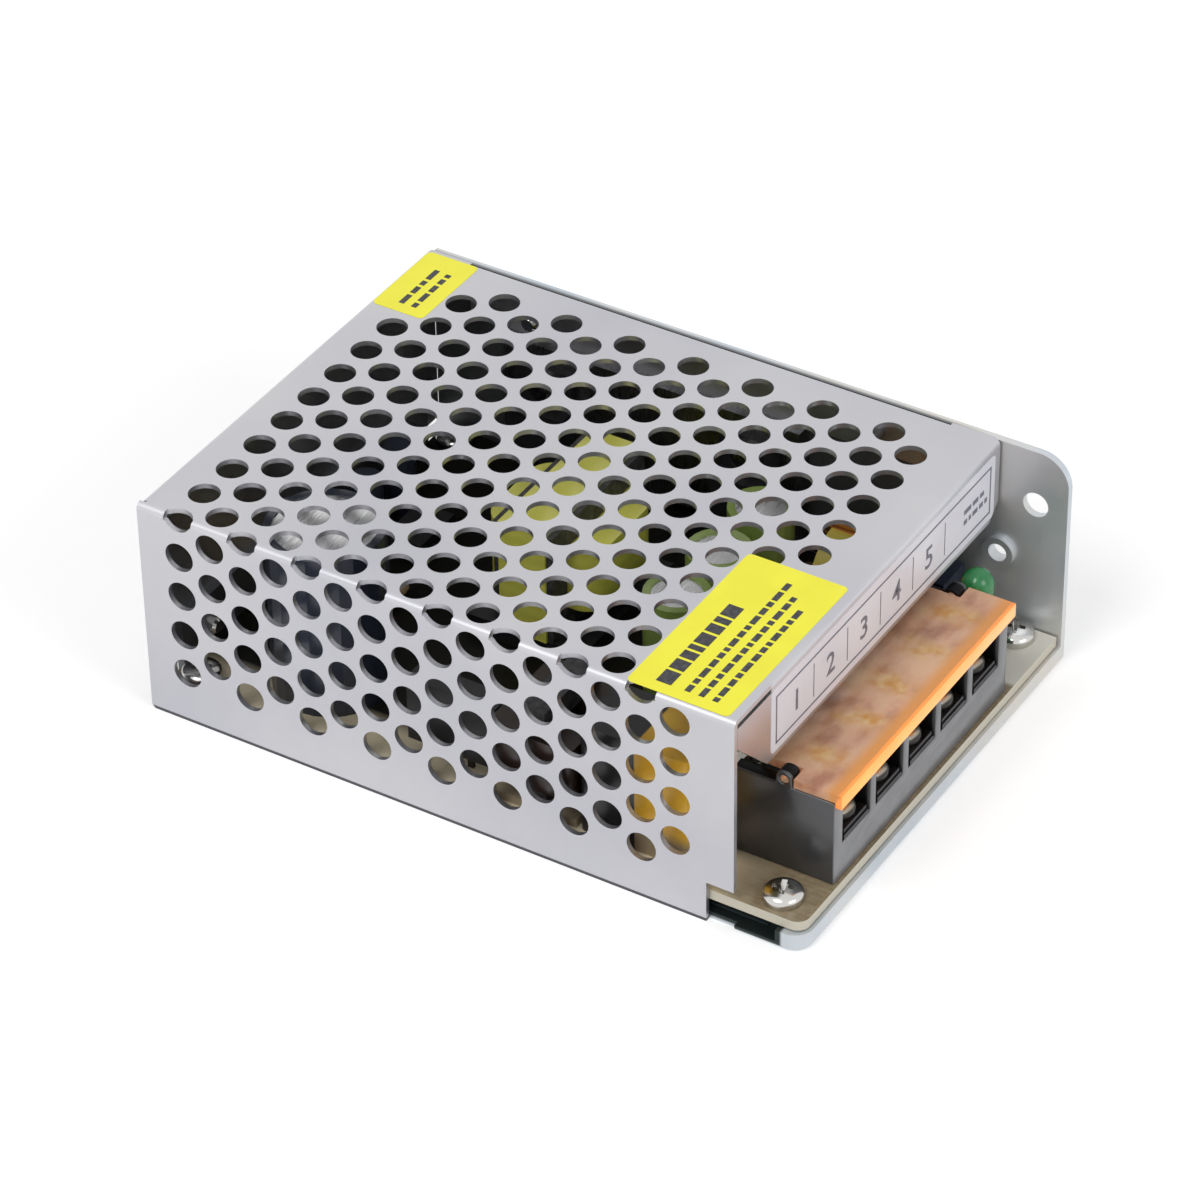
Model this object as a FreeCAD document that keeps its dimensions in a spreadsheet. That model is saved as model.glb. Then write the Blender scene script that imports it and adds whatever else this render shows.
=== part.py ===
"""Mesh case switching power supply: an open-frame circuit board in a folded metal case.

Frame: +Z up from the face that the case stands on, -Y towards the terminals, +X towards the solid wall,
origin at the middle of the case's footprint. Sizes are millimetres.
"""
import FreeCAD, Part
import math
import os

import Sketcher

# Driving sizes in millimetres, and a few ratios and counts
DRIVING_SIZES = {
    "case_length": 110,
    "case_width": 78,
    "case_height": 37,
    "base_sheet": 1.2,
    "cover_sheet": 0.8,
    "base_fold_radius": 1.0,
    "cover_fold_radius": 0.7,
    "fit_gap": 0.1,
    "part_gap": 0.3,
    "cover_setback": 11.1,
    "base_corner_radius": 3,
    "wall_corner_radius": 5,
    "wall_drop": 0.4,
    "lip_height": 3.2,
    "corner_lip_length": 4.5,
    "left_lip_setback": 16,
    "rear_flange_height": 13,
    "rear_flange_inset": 5,
    "notch_height": 7,
    "notch_depth": 4.4,
    "strip_height": 13.3,
    "strip_left_bare": 10,
    "strip_slot": 1.6,
    "strip_left_slant": 8.2,
    "strip_right_slant": 2.6,
    "back_flap_clearance": 6,
    "inner_flange_height": 9,
    "inner_flange_setback": 8,
    "relief_radius": 1.3,
    "hole_radius": 2.4,
    "row_pitch": 7,
    "column_pitch": 5.5,
    "rear_margin": 7,
    "top_rows": 10,
    "wall_rows": 4,
    "column_pairs": 8,
    "side_hole_radius": 2.05,
    "side_hole_from_front": 5.2,
    "side_hole_height": 27.3,
    "thread_hole_radius": 1.5,
    "thread_collar_radius": 2.5,
    "thread_collar_height": 0.8,
    "thread_hole_from_front": 10.7,
    "thread_hole_height": 17.1,
    "cover_screw_radius": 1.5,
    "cover_screw_head_radius": 2.7,
    "cover_screw_length": 5,
    "cover_screw_drop": 5.2,
    "cover_screw_inset": 20,
    "rear_screw_spacing": 56,
    "rear_screw_height": 9.5,
    "board_thickness": 1.6,
    "board_front_overhang": 0.6,
    "board_corner_radius": 2,
    "standoff_height": 2.2,
    "standoff_radius": 2.5,
    "insulation_thickness": 0.25,
    "board_screw_radius": 1.45,
    "board_screw_head_radius": 3,
    "board_screw_head_height": 2.2,
    "board_screw_inset_x": 4.7,
    "board_screw_inset_front": 5.9,
    "board_screw_inset_back": 6,
    "screw_slot_width": 0.8,
    "screw_slot_depth": 1,
    "screw_slot_reach": 0.55,
    "screw_crown": 0.62,
    "terminal_pitch": 9.5,
    "terminal_divider": 1.5,
    "terminal_cheek": 2.5,
    "terminal_setback": 1.2,
    "terminal_bay_depth": 7,
    "terminal_rear_depth": 9.3,
    "terminal_floor": 6,
    "terminal_rear_height": 9.3,
    "terminal_height": 14.5,
    "terminal_offset_x": -3,
    "plate_thickness": 0.8,
    "plate_margin": 0.6,
    "clamp_thickness": 0.7,
    "clamp_side": 6.4,
    "terminal_screw_radius": 1.5,
    "terminal_screw_head_radius": 2.9,
    "terminal_screw_head_height": 2,
    "terminal_screw_length": 6.6,
    "lid_thickness": 1.5,
    "lid_lip_thickness": 1,
    "lid_lip_height": 2.3,
    "lid_tail": 5.1,
    "hinge_clearance": 0.35,
    "hinge_pin_radius": 0.7,
    "hinge_lug_radius": 1.3,
    "hinge_lug_round": 1.1,
    "hinge_running_gap": 0.05,
    "led_radius": 2.5,
    "led_flange": 0.4,
    "led_flange_height": 1,
    "led_length": 8.4,
    "led_lead_length": 8.4,
    "led_lead_width": 0.5,
    "led_lead_spacing": 2.54,
    "led_from_terminal": 3.7,
    "led_setback": 8.3,
    "trimmer_width": 6.6,
    "trimmer_depth": 5,
    "trimmer_height": 9,
    "trimmer_setback": 15.5,
    "trimmer_inset": 5,
    "trimmer_rotor_radius": 2,
    "trimmer_rotor_depth": 2,
    "trimmer_slot_width": 0.6,
    "input_inset": 2.2,
    "filter_capacitor_width": 11,
    "filter_capacitor_length": 18,
    "filter_capacitor_height": 19,
    "filter_capacitor_setback": 20,
    "body_round": 1,
    "choke_core_length": 14,
    "choke_core_width": 15,
    "choke_core_height": 17,
    "choke_leg": 4,
    "choke_winding_wall": 1.3,
    "choke_setback": 38.5,
    "bridge_length": 15,
    "bridge_thickness": 4,
    "bridge_height": 11,
    "bridge_stand_off": 3,
    "bridge_setback": 53,
    "bulk_capacitor_radius": 9,
    "bulk_capacitor_height": 28,
    "bulk_capacitor_setback": 23,
    "bulk_capacitor_inset": 4,
    "sleeve_lip": 1.2,
    "can_top_depth": 0.5,
    "transformer_core_width": 26,
    "transformer_core_depth": 10,
    "transformer_core_height": 19,
    "transformer_leg": 4,
    "transformer_centre_leg": 7,
    "transformer_winding_depth": 20,
    "transformer_base_height": 3,
    "transformer_tape": 0.4,
    "transformer_tape_depth": 8,
    "transformer_setback": 66.5,
    "transformer_offset_x": 8,
    "bar_thickness": 3,
    "bar_height": 20.4,
    "bar_length": 52,
    "bar_setback": 43,
    "bar_lift": 2.6,
    "device_width": 10,
    "device_body_height": 9,
    "device_thickness": 4.4,
    "device_tab_thickness": 1.3,
    "device_height": 15.5,
    "device_inset": 8,
    "clamp_screw_radius": 1.45,
    "clamp_screw_head_radius": 2.7,
    "clamp_screw_head_height": 1.8,
    "output_capacitor_radius": 5,
    "output_capacitor_height": 20,
    "output_capacitor_pitch": 12,
    "output_capacitor_setback": 41,
    "ring_radius": 7.5,
    "ring_bore_radius": 3.6,
    "ring_thickness": 6,
    "wire_radius": 0.6,
    "ring_turns": 12,
    "ring_setback": 29,
    "ring_inset": 12,
    "fuse_radius": 2.6,
    "fuse_length": 20,
    "fuse_cap_length": 5,
    "fuse_setback": 24,
    "fuse_offset_x": -10,
    "clip_thickness": 0.5,
    "disc_radius": 4.5,
    "disc_thickness": 3.6,
    "disc_stand_off": 2,
    "thermistor_offset_x": 9,
    "small_disc_radius": 3.2,
    "small_disc_thickness": 3,
    "small_disc_setback": 33.5,
    "small_disc_pitch": 7.2,
    "small_disc_offset_x": -15,
    "chip_length": 9.6,
    "chip_width": 6.4,
    "chip_height": 3.4,
    "chip_foot": 0.5,
    "chip_setback": 16,
    "chip_offset_x": 9,
    "coupler_length": 4.6,
    "coupler_setback": 48,
    "coupler_offset_x": -12,
    "resistor_radius": 1.2,
    "resistor_length": 6.5,
    "resistor_pitch": 4,
    "resistor_lift": 0.6,
    "resistor_setback": 8.5,
    "resistor_offset_x": -6,
    "small_capacitor_radius": 2.5,
    "small_capacitor_height": 11,
    "small_capacitor_pitch": 9,
    "small_capacitor_setback": 8,
    "small_capacitor_offset_x": 7,
    "label_thickness": 0.1,
    "label_height": 11,
    "label_margin": 1.5,
    "yellow_label_length": 16.2,
    "yellow_label_width": 33.5,
    "yellow_label_setback": 12.5,
    "corner_label_width": 16,
    "corner_label_length": 9,
}

TERMINALS = 5
OUTPUT_CAPACITORS = 3
RESISTORS = 4
SMALL_CAPACITORS = 2
BRIDGE_LEGS = 4
CONTROLLER_PINS = 4
COUPLER_PINS = 2
MESH_SIDES = 6
SMALL_SIDES = 12
CAN_SIDES = 24
DIRECTIONS = {"x": ((0, 1, 0), 90), "y": ((1, 0, 0), -90), "z": ((0, 0, 1), 0)}

doc = FreeCAD.newDocument("PowerSupply")


class Size:
    """A length that knows its value now and the expression that gives it from the sheet's cells."""

    def __init__(self, text, value):
        self.text = text
        self.value = value

    @staticmethod
    def of(other):
        return other if isinstance(other, Size) else Size(repr(other), other)

    def join(self, sign, other, value):
        return Size(f"({self.text} {sign} {other.text})", value)

    def __add__(self, other):
        other = Size.of(other)
        return self.join("+", other, self.value + other.value)

    def __radd__(self, other):
        return Size.of(other) + self

    def __sub__(self, other):
        other = Size.of(other)
        return self.join("-", other, self.value - other.value)

    def __rsub__(self, other):
        return Size.of(other) - self

    def __mul__(self, other):
        other = Size.of(other)
        return self.join("*", other, self.value * other.value)

    __rmul__ = __mul__

    def __truediv__(self, other):
        other = Size.of(other)
        return self.join("/", other, self.value / other.value)

    def __neg__(self):
        return Size.of(0) - self


class Sizes:
    """The spreadsheet's cells, each by its alias."""


def fill_sheet():
    sheet = doc.addObject("Spreadsheet::Sheet", "Sizes")
    for row, (alias, number) in enumerate(DRIVING_SIZES.items(), start=1):
        sheet.set(f"A{row}", alias)
        sheet.set(f"B{row}", str(number))
        sheet.setAlias(f"B{row}", alias)
    doc.recompute()
    for alias in DRIVING_SIZES:
        setattr(Sizes, alias, Size(f"Sizes.{alias}", sheet.get(alias)))


fill_sheet()
S = Sizes

# Planes and edges that several pieces share
LEFT = -S.case_width / 2
RIGHT = S.case_width / 2
FRONT = -S.case_length / 2
BACK = S.case_length / 2
TOP = S.case_height
TOP_UNDERSIDE = TOP - S.cover_sheet
WALL_INSIDE = RIGHT - S.base_sheet
COVER_LEFT_INSIDE = LEFT + S.cover_sheet
COVER_FRONT = FRONT + S.cover_setback
COVER_RIGHT = WALL_INSIDE - S.fit_gap
BASE_LEFT = COVER_LEFT_INSIDE + S.fit_gap
BASE_BACK = BACK - S.cover_sheet
BOARD_BOTTOM = S.base_sheet + S.standoff_height
BOARD_TOP = BOARD_BOTTOM + S.board_thickness
BOARD_LEFT = BASE_LEFT + S.fit_gap
BOARD_RIGHT = WALL_INSIDE - S.part_gap
BOARD_FRONT = FRONT + S.board_front_overhang
BOARD_BACK = BASE_BACK - S.base_sheet - S.part_gap
INPUT_LEFT = COVER_LEFT_INSIDE + S.input_inset

PIECES = []


def bind(thing, path, amount):
    """Ties one property to the sheet, or sets it when it is a plain number."""
    amount = Size.of(amount)
    thing.setExpression(path, amount.text)


def place(thing, x, y, z):
    bind(thing, "Placement.Base.x", x)
    bind(thing, "Placement.Base.y", y)
    bind(thing, "Placement.Base.z", z)
    return thing


def turned(axis, degrees):
    return FreeCAD.Placement(FreeCAD.Vector(), FreeCAD.Rotation(FreeCAD.Vector(*axis), degrees))


def box(name, low, size):
    """A block from its lowest corner."""
    block = doc.addObject("Part::Box", name)
    for prop, amount in zip(("Length", "Width", "Height"), size):
        bind(block, prop, amount)
    return place(block, *low)


def centred_box(name, x, y, z, size):
    """A block that stands on z with its middle over x, y."""
    return box(name, (x - size[0] / 2, y - size[1] / 2, z), size)


def cylinder(name, centre, radius, length, along="z"):
    """A round bar from the middle of its first end, along +x, +y or +z."""
    bar = doc.addObject("Part::Cylinder", name)
    bind(bar, "Radius", radius)
    bind(bar, "Height", length)
    bar.Placement = turned(*DIRECTIONS[along])
    return place(bar, *centre)


def prism(name, centre, radius, length, along="z", sides=SMALL_SIDES):
    """A bar of few sides in place of a small round one, from the middle of its first end."""
    bar = doc.addObject("Part::Prism", name)
    bar.Polygon = sides
    bind(bar, "Circumradius", radius)
    bind(bar, "Height", length)
    bar.Placement = turned(*DIRECTIONS[along])
    return place(bar, *centre)


def cone(name, centre, radius, end_radius, length, along="z"):
    bar = doc.addObject("Part::Cone", name)
    bind(bar, "Radius1", radius)
    bind(bar, "Radius2", end_radius)
    bind(bar, "Height", length)
    bar.Placement = turned(*DIRECTIONS[along])
    return place(bar, *centre)


def fuse(name, parts):
    union = doc.addObject("Part::MultiFuse", name)
    union.Shapes = parts
    return union


def cut(name, base, tools):
    difference = doc.addObject("Part::Cut", name)
    difference.Base = base
    difference.Tool = tools[0] if len(tools) == 1 else fuse(name + "_tools", tools)
    return difference


def group(name, parts):
    """Separate like solids that share one file."""
    together = doc.addObject("Part::Compound", name)
    together.Links = parts
    return together


def rounded(name, base, radius, pick):
    """Rounds the edges that pick accepts, given each edge's middle and direction."""
    doc.recompute()
    chosen = []
    for number, edge in enumerate(base.Shape.Edges, start=1):
        start, end = edge.Vertexes[0].Point, edge.Vertexes[-1].Point
        direction = FreeCAD.Vector() if start == end else (end - start).normalize()
        if pick((start + end) / 2, direction):
            chosen.append((number, radius.value, radius.value))
    smooth = doc.addObject("Part::Fillet", name)
    smooth.Base = base
    smooth.Edges = chosen
    return smooth


def upright(middle, direction):
    return abs(direction.z) > 0.999


def piece(thing, label):
    """Marks a finished sub-part and gives it the name of its file."""
    thing.Label = label
    PIECES.append(thing)
    return thing


def origin_feature(body, role):
    return next(feature for feature in body.Origin.OriginFeatures if feature.Role == role)


def new_body(name):
    return doc.addObject("PartDesign::Body", name)


def sketch_on(body, plane, offset, name):
    sketch = body.newObject("Sketcher::SketchObject", name)
    sketch.AttachmentSupport = [(origin_feature(body, plane), "")]
    sketch.MapMode = "FlatFace"
    bind(sketch, "AttachmentOffset.Base.z", offset)
    return sketch


def fix_point(sketch, geometry, vertex, x, y):
    for kind, amount in (("DistanceX", x), ("DistanceY", y)):
        amount = Size.of(amount)
        number = sketch.addConstraint(Sketcher.Constraint(kind, -1, 1, geometry, vertex, amount.value))
        bind(sketch, f"Constraints[{number}]", amount)


def outline(sketch, points):
    """A closed outline of (x, y) corners; a third value rounds a square corner by that radius."""
    corners = [tuple(Size.of(part) for part in point) for point in points]
    ends = []
    for index, corner in enumerate(corners):
        x, y = corner[:2]
        if len(corner) == 2:
            ends.append(((x, y), (x, y), None))
            continue
        radius = corner[2]
        near = step_towards(corner, corners[index - 1])
        far = step_towards(corner, corners[(index + 1) % len(corners)])
        start = (x + radius * near[0], y + radius * near[1])
        end = (x + radius * far[0], y + radius * far[1])
        ends.append((start, end, (x + radius * (near[0] + far[0]), y + radius * (near[1] + far[1]), radius)))
    for index, (start, end, arc) in enumerate(ends):
        following = ends[(index + 1) % len(ends)][0]
        if arc:
            add_corner_arc(sketch, start, end, arc)
        line = sketch.addGeometry(Part.LineSegment(point_of(end), point_of(following)))
        fix_point(sketch, line, 1, *end)
        fix_point(sketch, line, 2, *following)


def step_towards(corner, other):
    """The unit step, along one axis, from a square corner to its neighbour."""
    across, up = other[0].value - corner[0].value, other[1].value - corner[1].value
    if abs(across) > abs(up):
        return math.copysign(1, across), 0
    return 0, math.copysign(1, up)


def point_of(pair):
    return FreeCAD.Vector(pair[0].value, pair[1].value, 0)


def add_corner_arc(sketch, start, end, centre):
    middle = FreeCAD.Vector(centre[0].value, centre[1].value, 0)
    first, last = point_of(start) - middle, point_of(end) - middle
    bulge = (first + last).normalize() * centre[2].value + middle
    arc = sketch.addGeometry(Part.Arc(point_of(start), bulge, point_of(end)))
    number = sketch.addConstraint(Sketcher.Constraint("Radius", arc, centre[2].value))
    bind(sketch, f"Constraints[{number}]", centre[2])
    fix_point(sketch, arc, 3, centre[0], centre[1])


def rectangle(sketch, x0, y0, x1, y1):
    outline(sketch, [(x0, y0), (x1, y0), (x1, y1), (x0, y1)])


def circle(sketch, x, y, radius):
    x, y, radius = Size.of(x), Size.of(y), Size.of(radius)
    centre = FreeCAD.Vector(x.value, y.value, 0)
    ring = sketch.addGeometry(Part.Circle(centre, FreeCAD.Vector(0, 0, 1), radius.value))
    number = sketch.addConstraint(Sketcher.Constraint("Radius", ring, radius.value))
    bind(sketch, f"Constraints[{number}]", radius)
    fix_point(sketch, ring, 3, x, y)


def small_hole(sketch, x, y, radius):
    """A hole that fits a bar made by prism."""
    corners = []
    for side in range(SMALL_SIDES):
        turn = 2 * math.pi * side / SMALL_SIDES
        corners.append((x + radius * round(math.cos(turn), 6), y + radius * round(math.sin(turn), 6)))
    outline(sketch, corners)


def pad(body, sketch, length, name):
    """Raises a sketch along its plane's normal."""
    raised = body.newObject("PartDesign::Pad", name)
    raised.Profile = sketch
    bind(raised, "Length", length)
    raised.Refine = False
    return raised


def pocket(body, sketch, length, name, forwards=False):
    """Sinks a sketch against its plane's normal, or along it."""
    sunk = body.newObject("PartDesign::Pocket", name)
    sunk.Profile = sketch
    bind(sunk, "Length", length)
    sunk.Reversed = forwards
    sunk.Refine = False
    return sunk


def repeat(body, feature, steps, name):
    """Repeats a feature along one or two axes; each step is (axis, pitch, count, backwards)."""
    lines = []
    for role, pitch, count, backwards in steps:
        line = doc.addObject("PartDesign::LinearPattern", f"{name}_{role[0]}")
        line.Direction = (origin_feature(body, role), [""])
        line.Mode = "Spacing"
        bind(line, "Offset", pitch)
        bind(line, "Occurrences", count)
        line.Reversed = backwards
        lines.append(line)
    pattern = body.newObject("PartDesign::MultiTransform", name)
    pattern.Originals = [feature]
    pattern.Transformations = lines
    pattern.Refine = False
    body.Tip = pattern
    return pattern


def make_chassis():
    """The base, its lips and the solid right wall: one sheet folded up."""
    body = new_body("Chassis_sheet")
    base = sketch_on(body, "XY_Plane", 0, "base_outline")
    step = COVER_FRONT - S.fit_gap
    outline(base, [
        (LEFT, FRONT, S.base_corner_radius),
        (RIGHT, FRONT),
        (RIGHT, BASE_BACK),
        (BASE_LEFT, BASE_BACK),
        (BASE_LEFT, step),
        (LEFT, step),
    ])
    pad(body, base, S.base_sheet, "base")

    wall = sketch_on(body, "YZ_Plane", WALL_INSIDE, "right_wall_outline")
    outline(wall, [
        (FRONT, 0),
        (BASE_BACK, 0),
        (BASE_BACK, TOP - S.wall_drop),
        (FRONT, TOP - S.wall_drop, S.wall_corner_radius),
    ])
    pad(body, wall, S.base_sheet, "right_wall")

    front_lip = sketch_on(body, "XY_Plane", 0, "front_lip_outline")
    inside = S.base_corner_radius - S.base_sheet
    outline(front_lip, [
        (LEFT, FRONT, S.base_corner_radius),
        (WALL_INSIDE, FRONT),
        (WALL_INSIDE, FRONT + S.base_sheet),
        (LEFT + S.base_sheet, FRONT + S.base_sheet, inside),
        (LEFT + S.base_sheet, FRONT + S.corner_lip_length),
        (LEFT, FRONT + S.corner_lip_length),
    ])
    pad(body, front_lip, S.lip_height, "front_lip")

    left_lip = sketch_on(body, "XY_Plane", 0, "left_lip_outline")
    rectangle(left_lip, BASE_LEFT, FRONT + S.left_lip_setback, BASE_LEFT + S.base_sheet, BASE_BACK)
    pad(body, left_lip, S.lip_height, "left_lip")

    rear = sketch_on(body, "XY_Plane", 0, "rear_flange_outline")
    inset = S.rear_flange_inset
    rectangle(rear, BASE_LEFT + inset, BASE_BACK - S.base_sheet, WALL_INSIDE - inset, BASE_BACK)
    pad(body, rear, S.rear_flange_height, "rear_flange")

    collar = sketch_on(body, "YZ_Plane", WALL_INSIDE - S.thread_collar_height, "thread_collar_outline")
    circle(collar, FRONT + S.thread_hole_from_front, S.thread_hole_height, S.thread_collar_radius)
    pad(body, collar, S.thread_collar_height, "thread_collar")

    holes = sketch_on(body, "YZ_Plane", RIGHT, "side_hole_outline")
    circle(holes, FRONT + S.side_hole_from_front, S.side_hole_height, S.side_hole_radius)
    circle(holes, FRONT + S.thread_hole_from_front, S.thread_hole_height, S.thread_hole_radius)
    pocket(body, holes, S.base_sheet + S.thread_collar_height, "side_holes").Refine = True

    folded = rounded("Chassis_folded", body, S.base_fold_radius, is_base_fold)
    clamp_holes = [
        prism(f"clamp_hole_{number}", (WALL_INSIDE, y, CLAMP_HEIGHT), S.clamp_screw_radius, S.base_sheet, "x")
        for number, y in enumerate(DEVICE_PLACES)
    ]
    board_holes = [
        prism(f"board_hole_{number}", (x, y, 0), S.board_screw_radius, S.base_sheet)
        for number, (x, y) in enumerate(BOARD_SCREW_PLACES)
    ]
    screw_holes = [
        cover_screw(f"chassis_screw_hole_{number}", *where) for number, where in enumerate(COVER_SCREW_PLACES)
    ]
    piece(cut("Chassis_finished", folded, screw_holes + clamp_holes + board_holes), "chassis")


def is_base_fold(middle, direction):
    """The long outer edges where the sheet is folded up from the base."""
    low = abs(middle.z) < 0.01
    along_wall = abs(direction.y) > 0.999 and abs(middle.x - RIGHT.value) < 0.01
    along_front = abs(direction.x) > 0.999 and abs(middle.y - FRONT.value) < 0.01
    return low and (along_wall or along_front)


COVER_SCREW_PLACES = [
    ((RIGHT, COVER_FRONT + S.cover_screw_inset, TOP - S.cover_screw_drop), "x"),
    ((RIGHT, BACK - S.cover_screw_inset, TOP - S.cover_screw_drop), "x"),
    ((-S.rear_screw_spacing / 2, BACK, S.rear_screw_height), "y"),
    ((S.rear_screw_spacing / 2, BACK, S.rear_screw_height), "y"),
]


def cover_screw(name, head, along):
    """A countersunk screw from the middle of its head, driven inwards along x or y."""
    depth = S.base_sheet
    if along == "x":
        cone_start = (head[0] - depth, head[1], head[2])
        shank_start = (head[0] - S.cover_screw_length, head[1], head[2])
    else:
        cone_start = (head[0], head[1] - depth, head[2])
        shank_start = (head[0], head[1] - S.cover_screw_length, head[2])
    sink = cone(name + "_head", cone_start, S.cover_screw_radius, S.cover_screw_head_radius, depth, along)
    shank = prism(name + "_shank", shank_start, S.cover_screw_radius, S.cover_screw_length - depth, along)
    return fuse(name, [sink, shank])


def cross_slot(name, face, half_length):
    """The two crossed slots of a driver recess, sunk from the middle of an upright screw's face."""
    wide, deep, long = S.screw_slot_width, S.screw_slot_depth, half_length * 2
    low = face[2] - deep
    return [
        centred_box(name + "_a", face[0], face[1], low, (long, wide, deep)),
        centred_box(name + "_b", face[0], face[1], low, (wide, long, deep)),
    ]


def make_cover_screws():
    screws = [cover_screw(f"cover_screw_{number}", *where) for number, where in enumerate(COVER_SCREW_PLACES)]
    piece(group("Cover_screws", screws), "cover_screws")


def make_cover():
    """The perforated cover: top, left wall, front strip, back flap and an inner flange, one folded sheet."""
    body = new_body("Cover_sheet")
    top = sketch_on(body, "XY_Plane", TOP_UNDERSIDE, "top_outline")
    rectangle(top, LEFT, COVER_FRONT, COVER_RIGHT, BACK)
    pad(body, top, S.cover_sheet, "top")

    wall = sketch_on(body, "YZ_Plane", LEFT, "left_wall_outline")
    outline(wall, [
        (COVER_FRONT + S.notch_depth, 0),
        (BACK, 0),
        (BACK, TOP),
        (COVER_FRONT, TOP),
        (COVER_FRONT, S.notch_height),
        (COVER_FRONT + S.notch_depth, S.notch_height),
    ])
    pad(body, wall, S.cover_sheet, "left_wall")

    strip = sketch_on(body, "XZ_Plane", -COVER_FRONT - S.cover_sheet, "front_strip_outline")
    strip_left = COVER_LEFT_INSIDE + S.part_gap
    strip_bottom = TOP - S.strip_height
    outline(strip, [
        (LEFT + S.strip_left_bare, TOP),
        (COVER_RIGHT - S.part_gap, TOP),
        (COVER_RIGHT - S.part_gap, strip_bottom + S.strip_right_slant),
        (COVER_RIGHT - S.part_gap - S.strip_right_slant, strip_bottom),
        (strip_left + S.strip_left_slant, strip_bottom),
        (strip_left, strip_bottom + S.strip_left_slant),
        (strip_left, TOP - S.strip_slot),
        (LEFT + S.strip_left_bare, TOP - S.strip_slot),
    ])
    pad(body, strip, S.cover_sheet, "front_strip")

    flap = sketch_on(body, "XZ_Plane", -BACK, "back_flap_outline")
    rectangle(flap, COVER_LEFT_INSIDE + S.part_gap, S.back_flap_clearance, COVER_RIGHT - S.part_gap, TOP)
    pad(body, flap, S.cover_sheet, "back_flap")

    flange = sketch_on(body, "YZ_Plane", COVER_RIGHT - S.cover_sheet, "inner_flange_outline")
    rectangle(
        flange, COVER_FRONT + S.inner_flange_setback, TOP - S.inner_flange_height,
        BACK - S.inner_flange_setback, TOP,
    )
    pad(body, flange, S.cover_sheet, "inner_flange")

    reliefs = sketch_on(body, "XY_Plane", TOP, "corner_relief_outline")
    circle(reliefs, COVER_LEFT_INSIDE, BACK - S.cover_sheet, S.relief_radius)
    circle(reliefs, COVER_RIGHT - S.cover_sheet, BACK - S.cover_sheet, S.relief_radius)
    pocket(body, reliefs, S.cover_sheet * 2, "corner_reliefs").Refine = True

    folded = body.newObject("PartDesign::Fillet", "outer_folds")
    doc.recompute()
    base = body.Group[-2]
    folded.Base = (base, [
        f"Edge{number}" for number, edge in enumerate(base.Shape.Edges, start=1) if is_cover_fold(edge)
    ])
    bind(folded, "Radius", S.cover_fold_radius)
    folded.Refine = False
    body.Tip = folded

    screws = [cover_screw(f"cover_hole_{number}", *where) for number, where in enumerate(COVER_SCREW_PLACES)]
    mesh = doc.addObject("Part::Feature", "Mesh_holes")
    mesh.Shape = Part.makeCompound(mesh_prisms())
    perforated = cut("Cover_perforated", cut("Cover_drilled", body, screws), [mesh])
    perforated.Refine = False
    piece(perforated, "mesh_cover")


def mesh_prisms():
    """The punched holes: staggered columns over the top, which run over the fold and down the left wall."""
    across, along, up = FreeCAD.Vector(1, 0, 0), FreeCAD.Vector(0, 1, 0), FreeCAD.Vector(0, 0, 1)
    through_top = up * -(S.cover_sheet + S.part_gap).value
    through_wall = across * S.cover_sheet.value
    corner = FreeCAD.Vector(LEFT.value, BACK.value - S.rear_margin.value, TOP.value)
    prisms = []
    for column in range(int(S.column_pairs.value) * 2):
        odd = column % 2
        start = corner - along * (S.column_pitch.value * column)
        for row in range(int(S.top_rows.value) + 1 - odd):
            step = S.row_pitch.value * (row + odd / 2)
            prisms.append(mesh_prism(start + across * step, across, along, through_top))
        for row in range(int(S.wall_rows.value) + 1 - odd):
            step = S.row_pitch.value * (row + odd / 2)
            prisms.append(mesh_prism(start - up * step, along, up, through_wall))
    return prisms


def mesh_prism(centre, first, second, through):
    """One hole's tool. It has few sides, because there are hundreds of it."""
    corners = []
    for side in range(MESH_SIDES):
        turn = 2 * math.pi * (side + 0.5) / MESH_SIDES
        outward = first * math.cos(turn) + second * math.sin(turn)
        corners.append(centre + outward * S.hole_radius.value)
    return Part.Face(Part.makePolygon(corners + corners[:1])).extrude(through)


def is_cover_fold(edge):
    """The outer edges where the top sheet is folded down, all at the top of the case."""
    start, end = edge.Vertexes[0].Point, edge.Vertexes[-1].Point
    if min(start.z, end.z) < TOP.value - 0.01 or edge.Length < S.row_pitch.value:
        return False
    sides = [abs(start.x - x.value) < 0.01 and abs(end.x - x.value) < 0.01 for x in (LEFT, COVER_RIGHT)]
    ends = [abs(start.y - y.value) < 0.01 and abs(end.y - y.value) < 0.01 for y in (COVER_FRONT, BACK)]
    return any(sides + ends)


BOARD_SCREW_PLACES = [
    (x, y)
    for x in (LEFT + S.board_screw_inset_x, RIGHT - S.board_screw_inset_x)
    for y in (FRONT + S.board_screw_inset_front, BACK - S.board_screw_inset_back)
]


def make_board():
    body = new_body("Board")
    sketch = sketch_on(body, "XY_Plane", BOARD_BOTTOM, "board_outline")
    outline(sketch, [
        (BOARD_LEFT, BOARD_FRONT, S.board_corner_radius),
        (BOARD_RIGHT, BOARD_FRONT),
        (BOARD_RIGHT, BOARD_BACK),
        (BOARD_LEFT, BOARD_BACK),
    ])
    for x, y in BOARD_SCREW_PLACES:
        small_hole(sketch, x, y, S.board_screw_radius)
    pad(body, sketch, S.board_thickness, "board")
    piece(body, "circuit_board")


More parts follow.
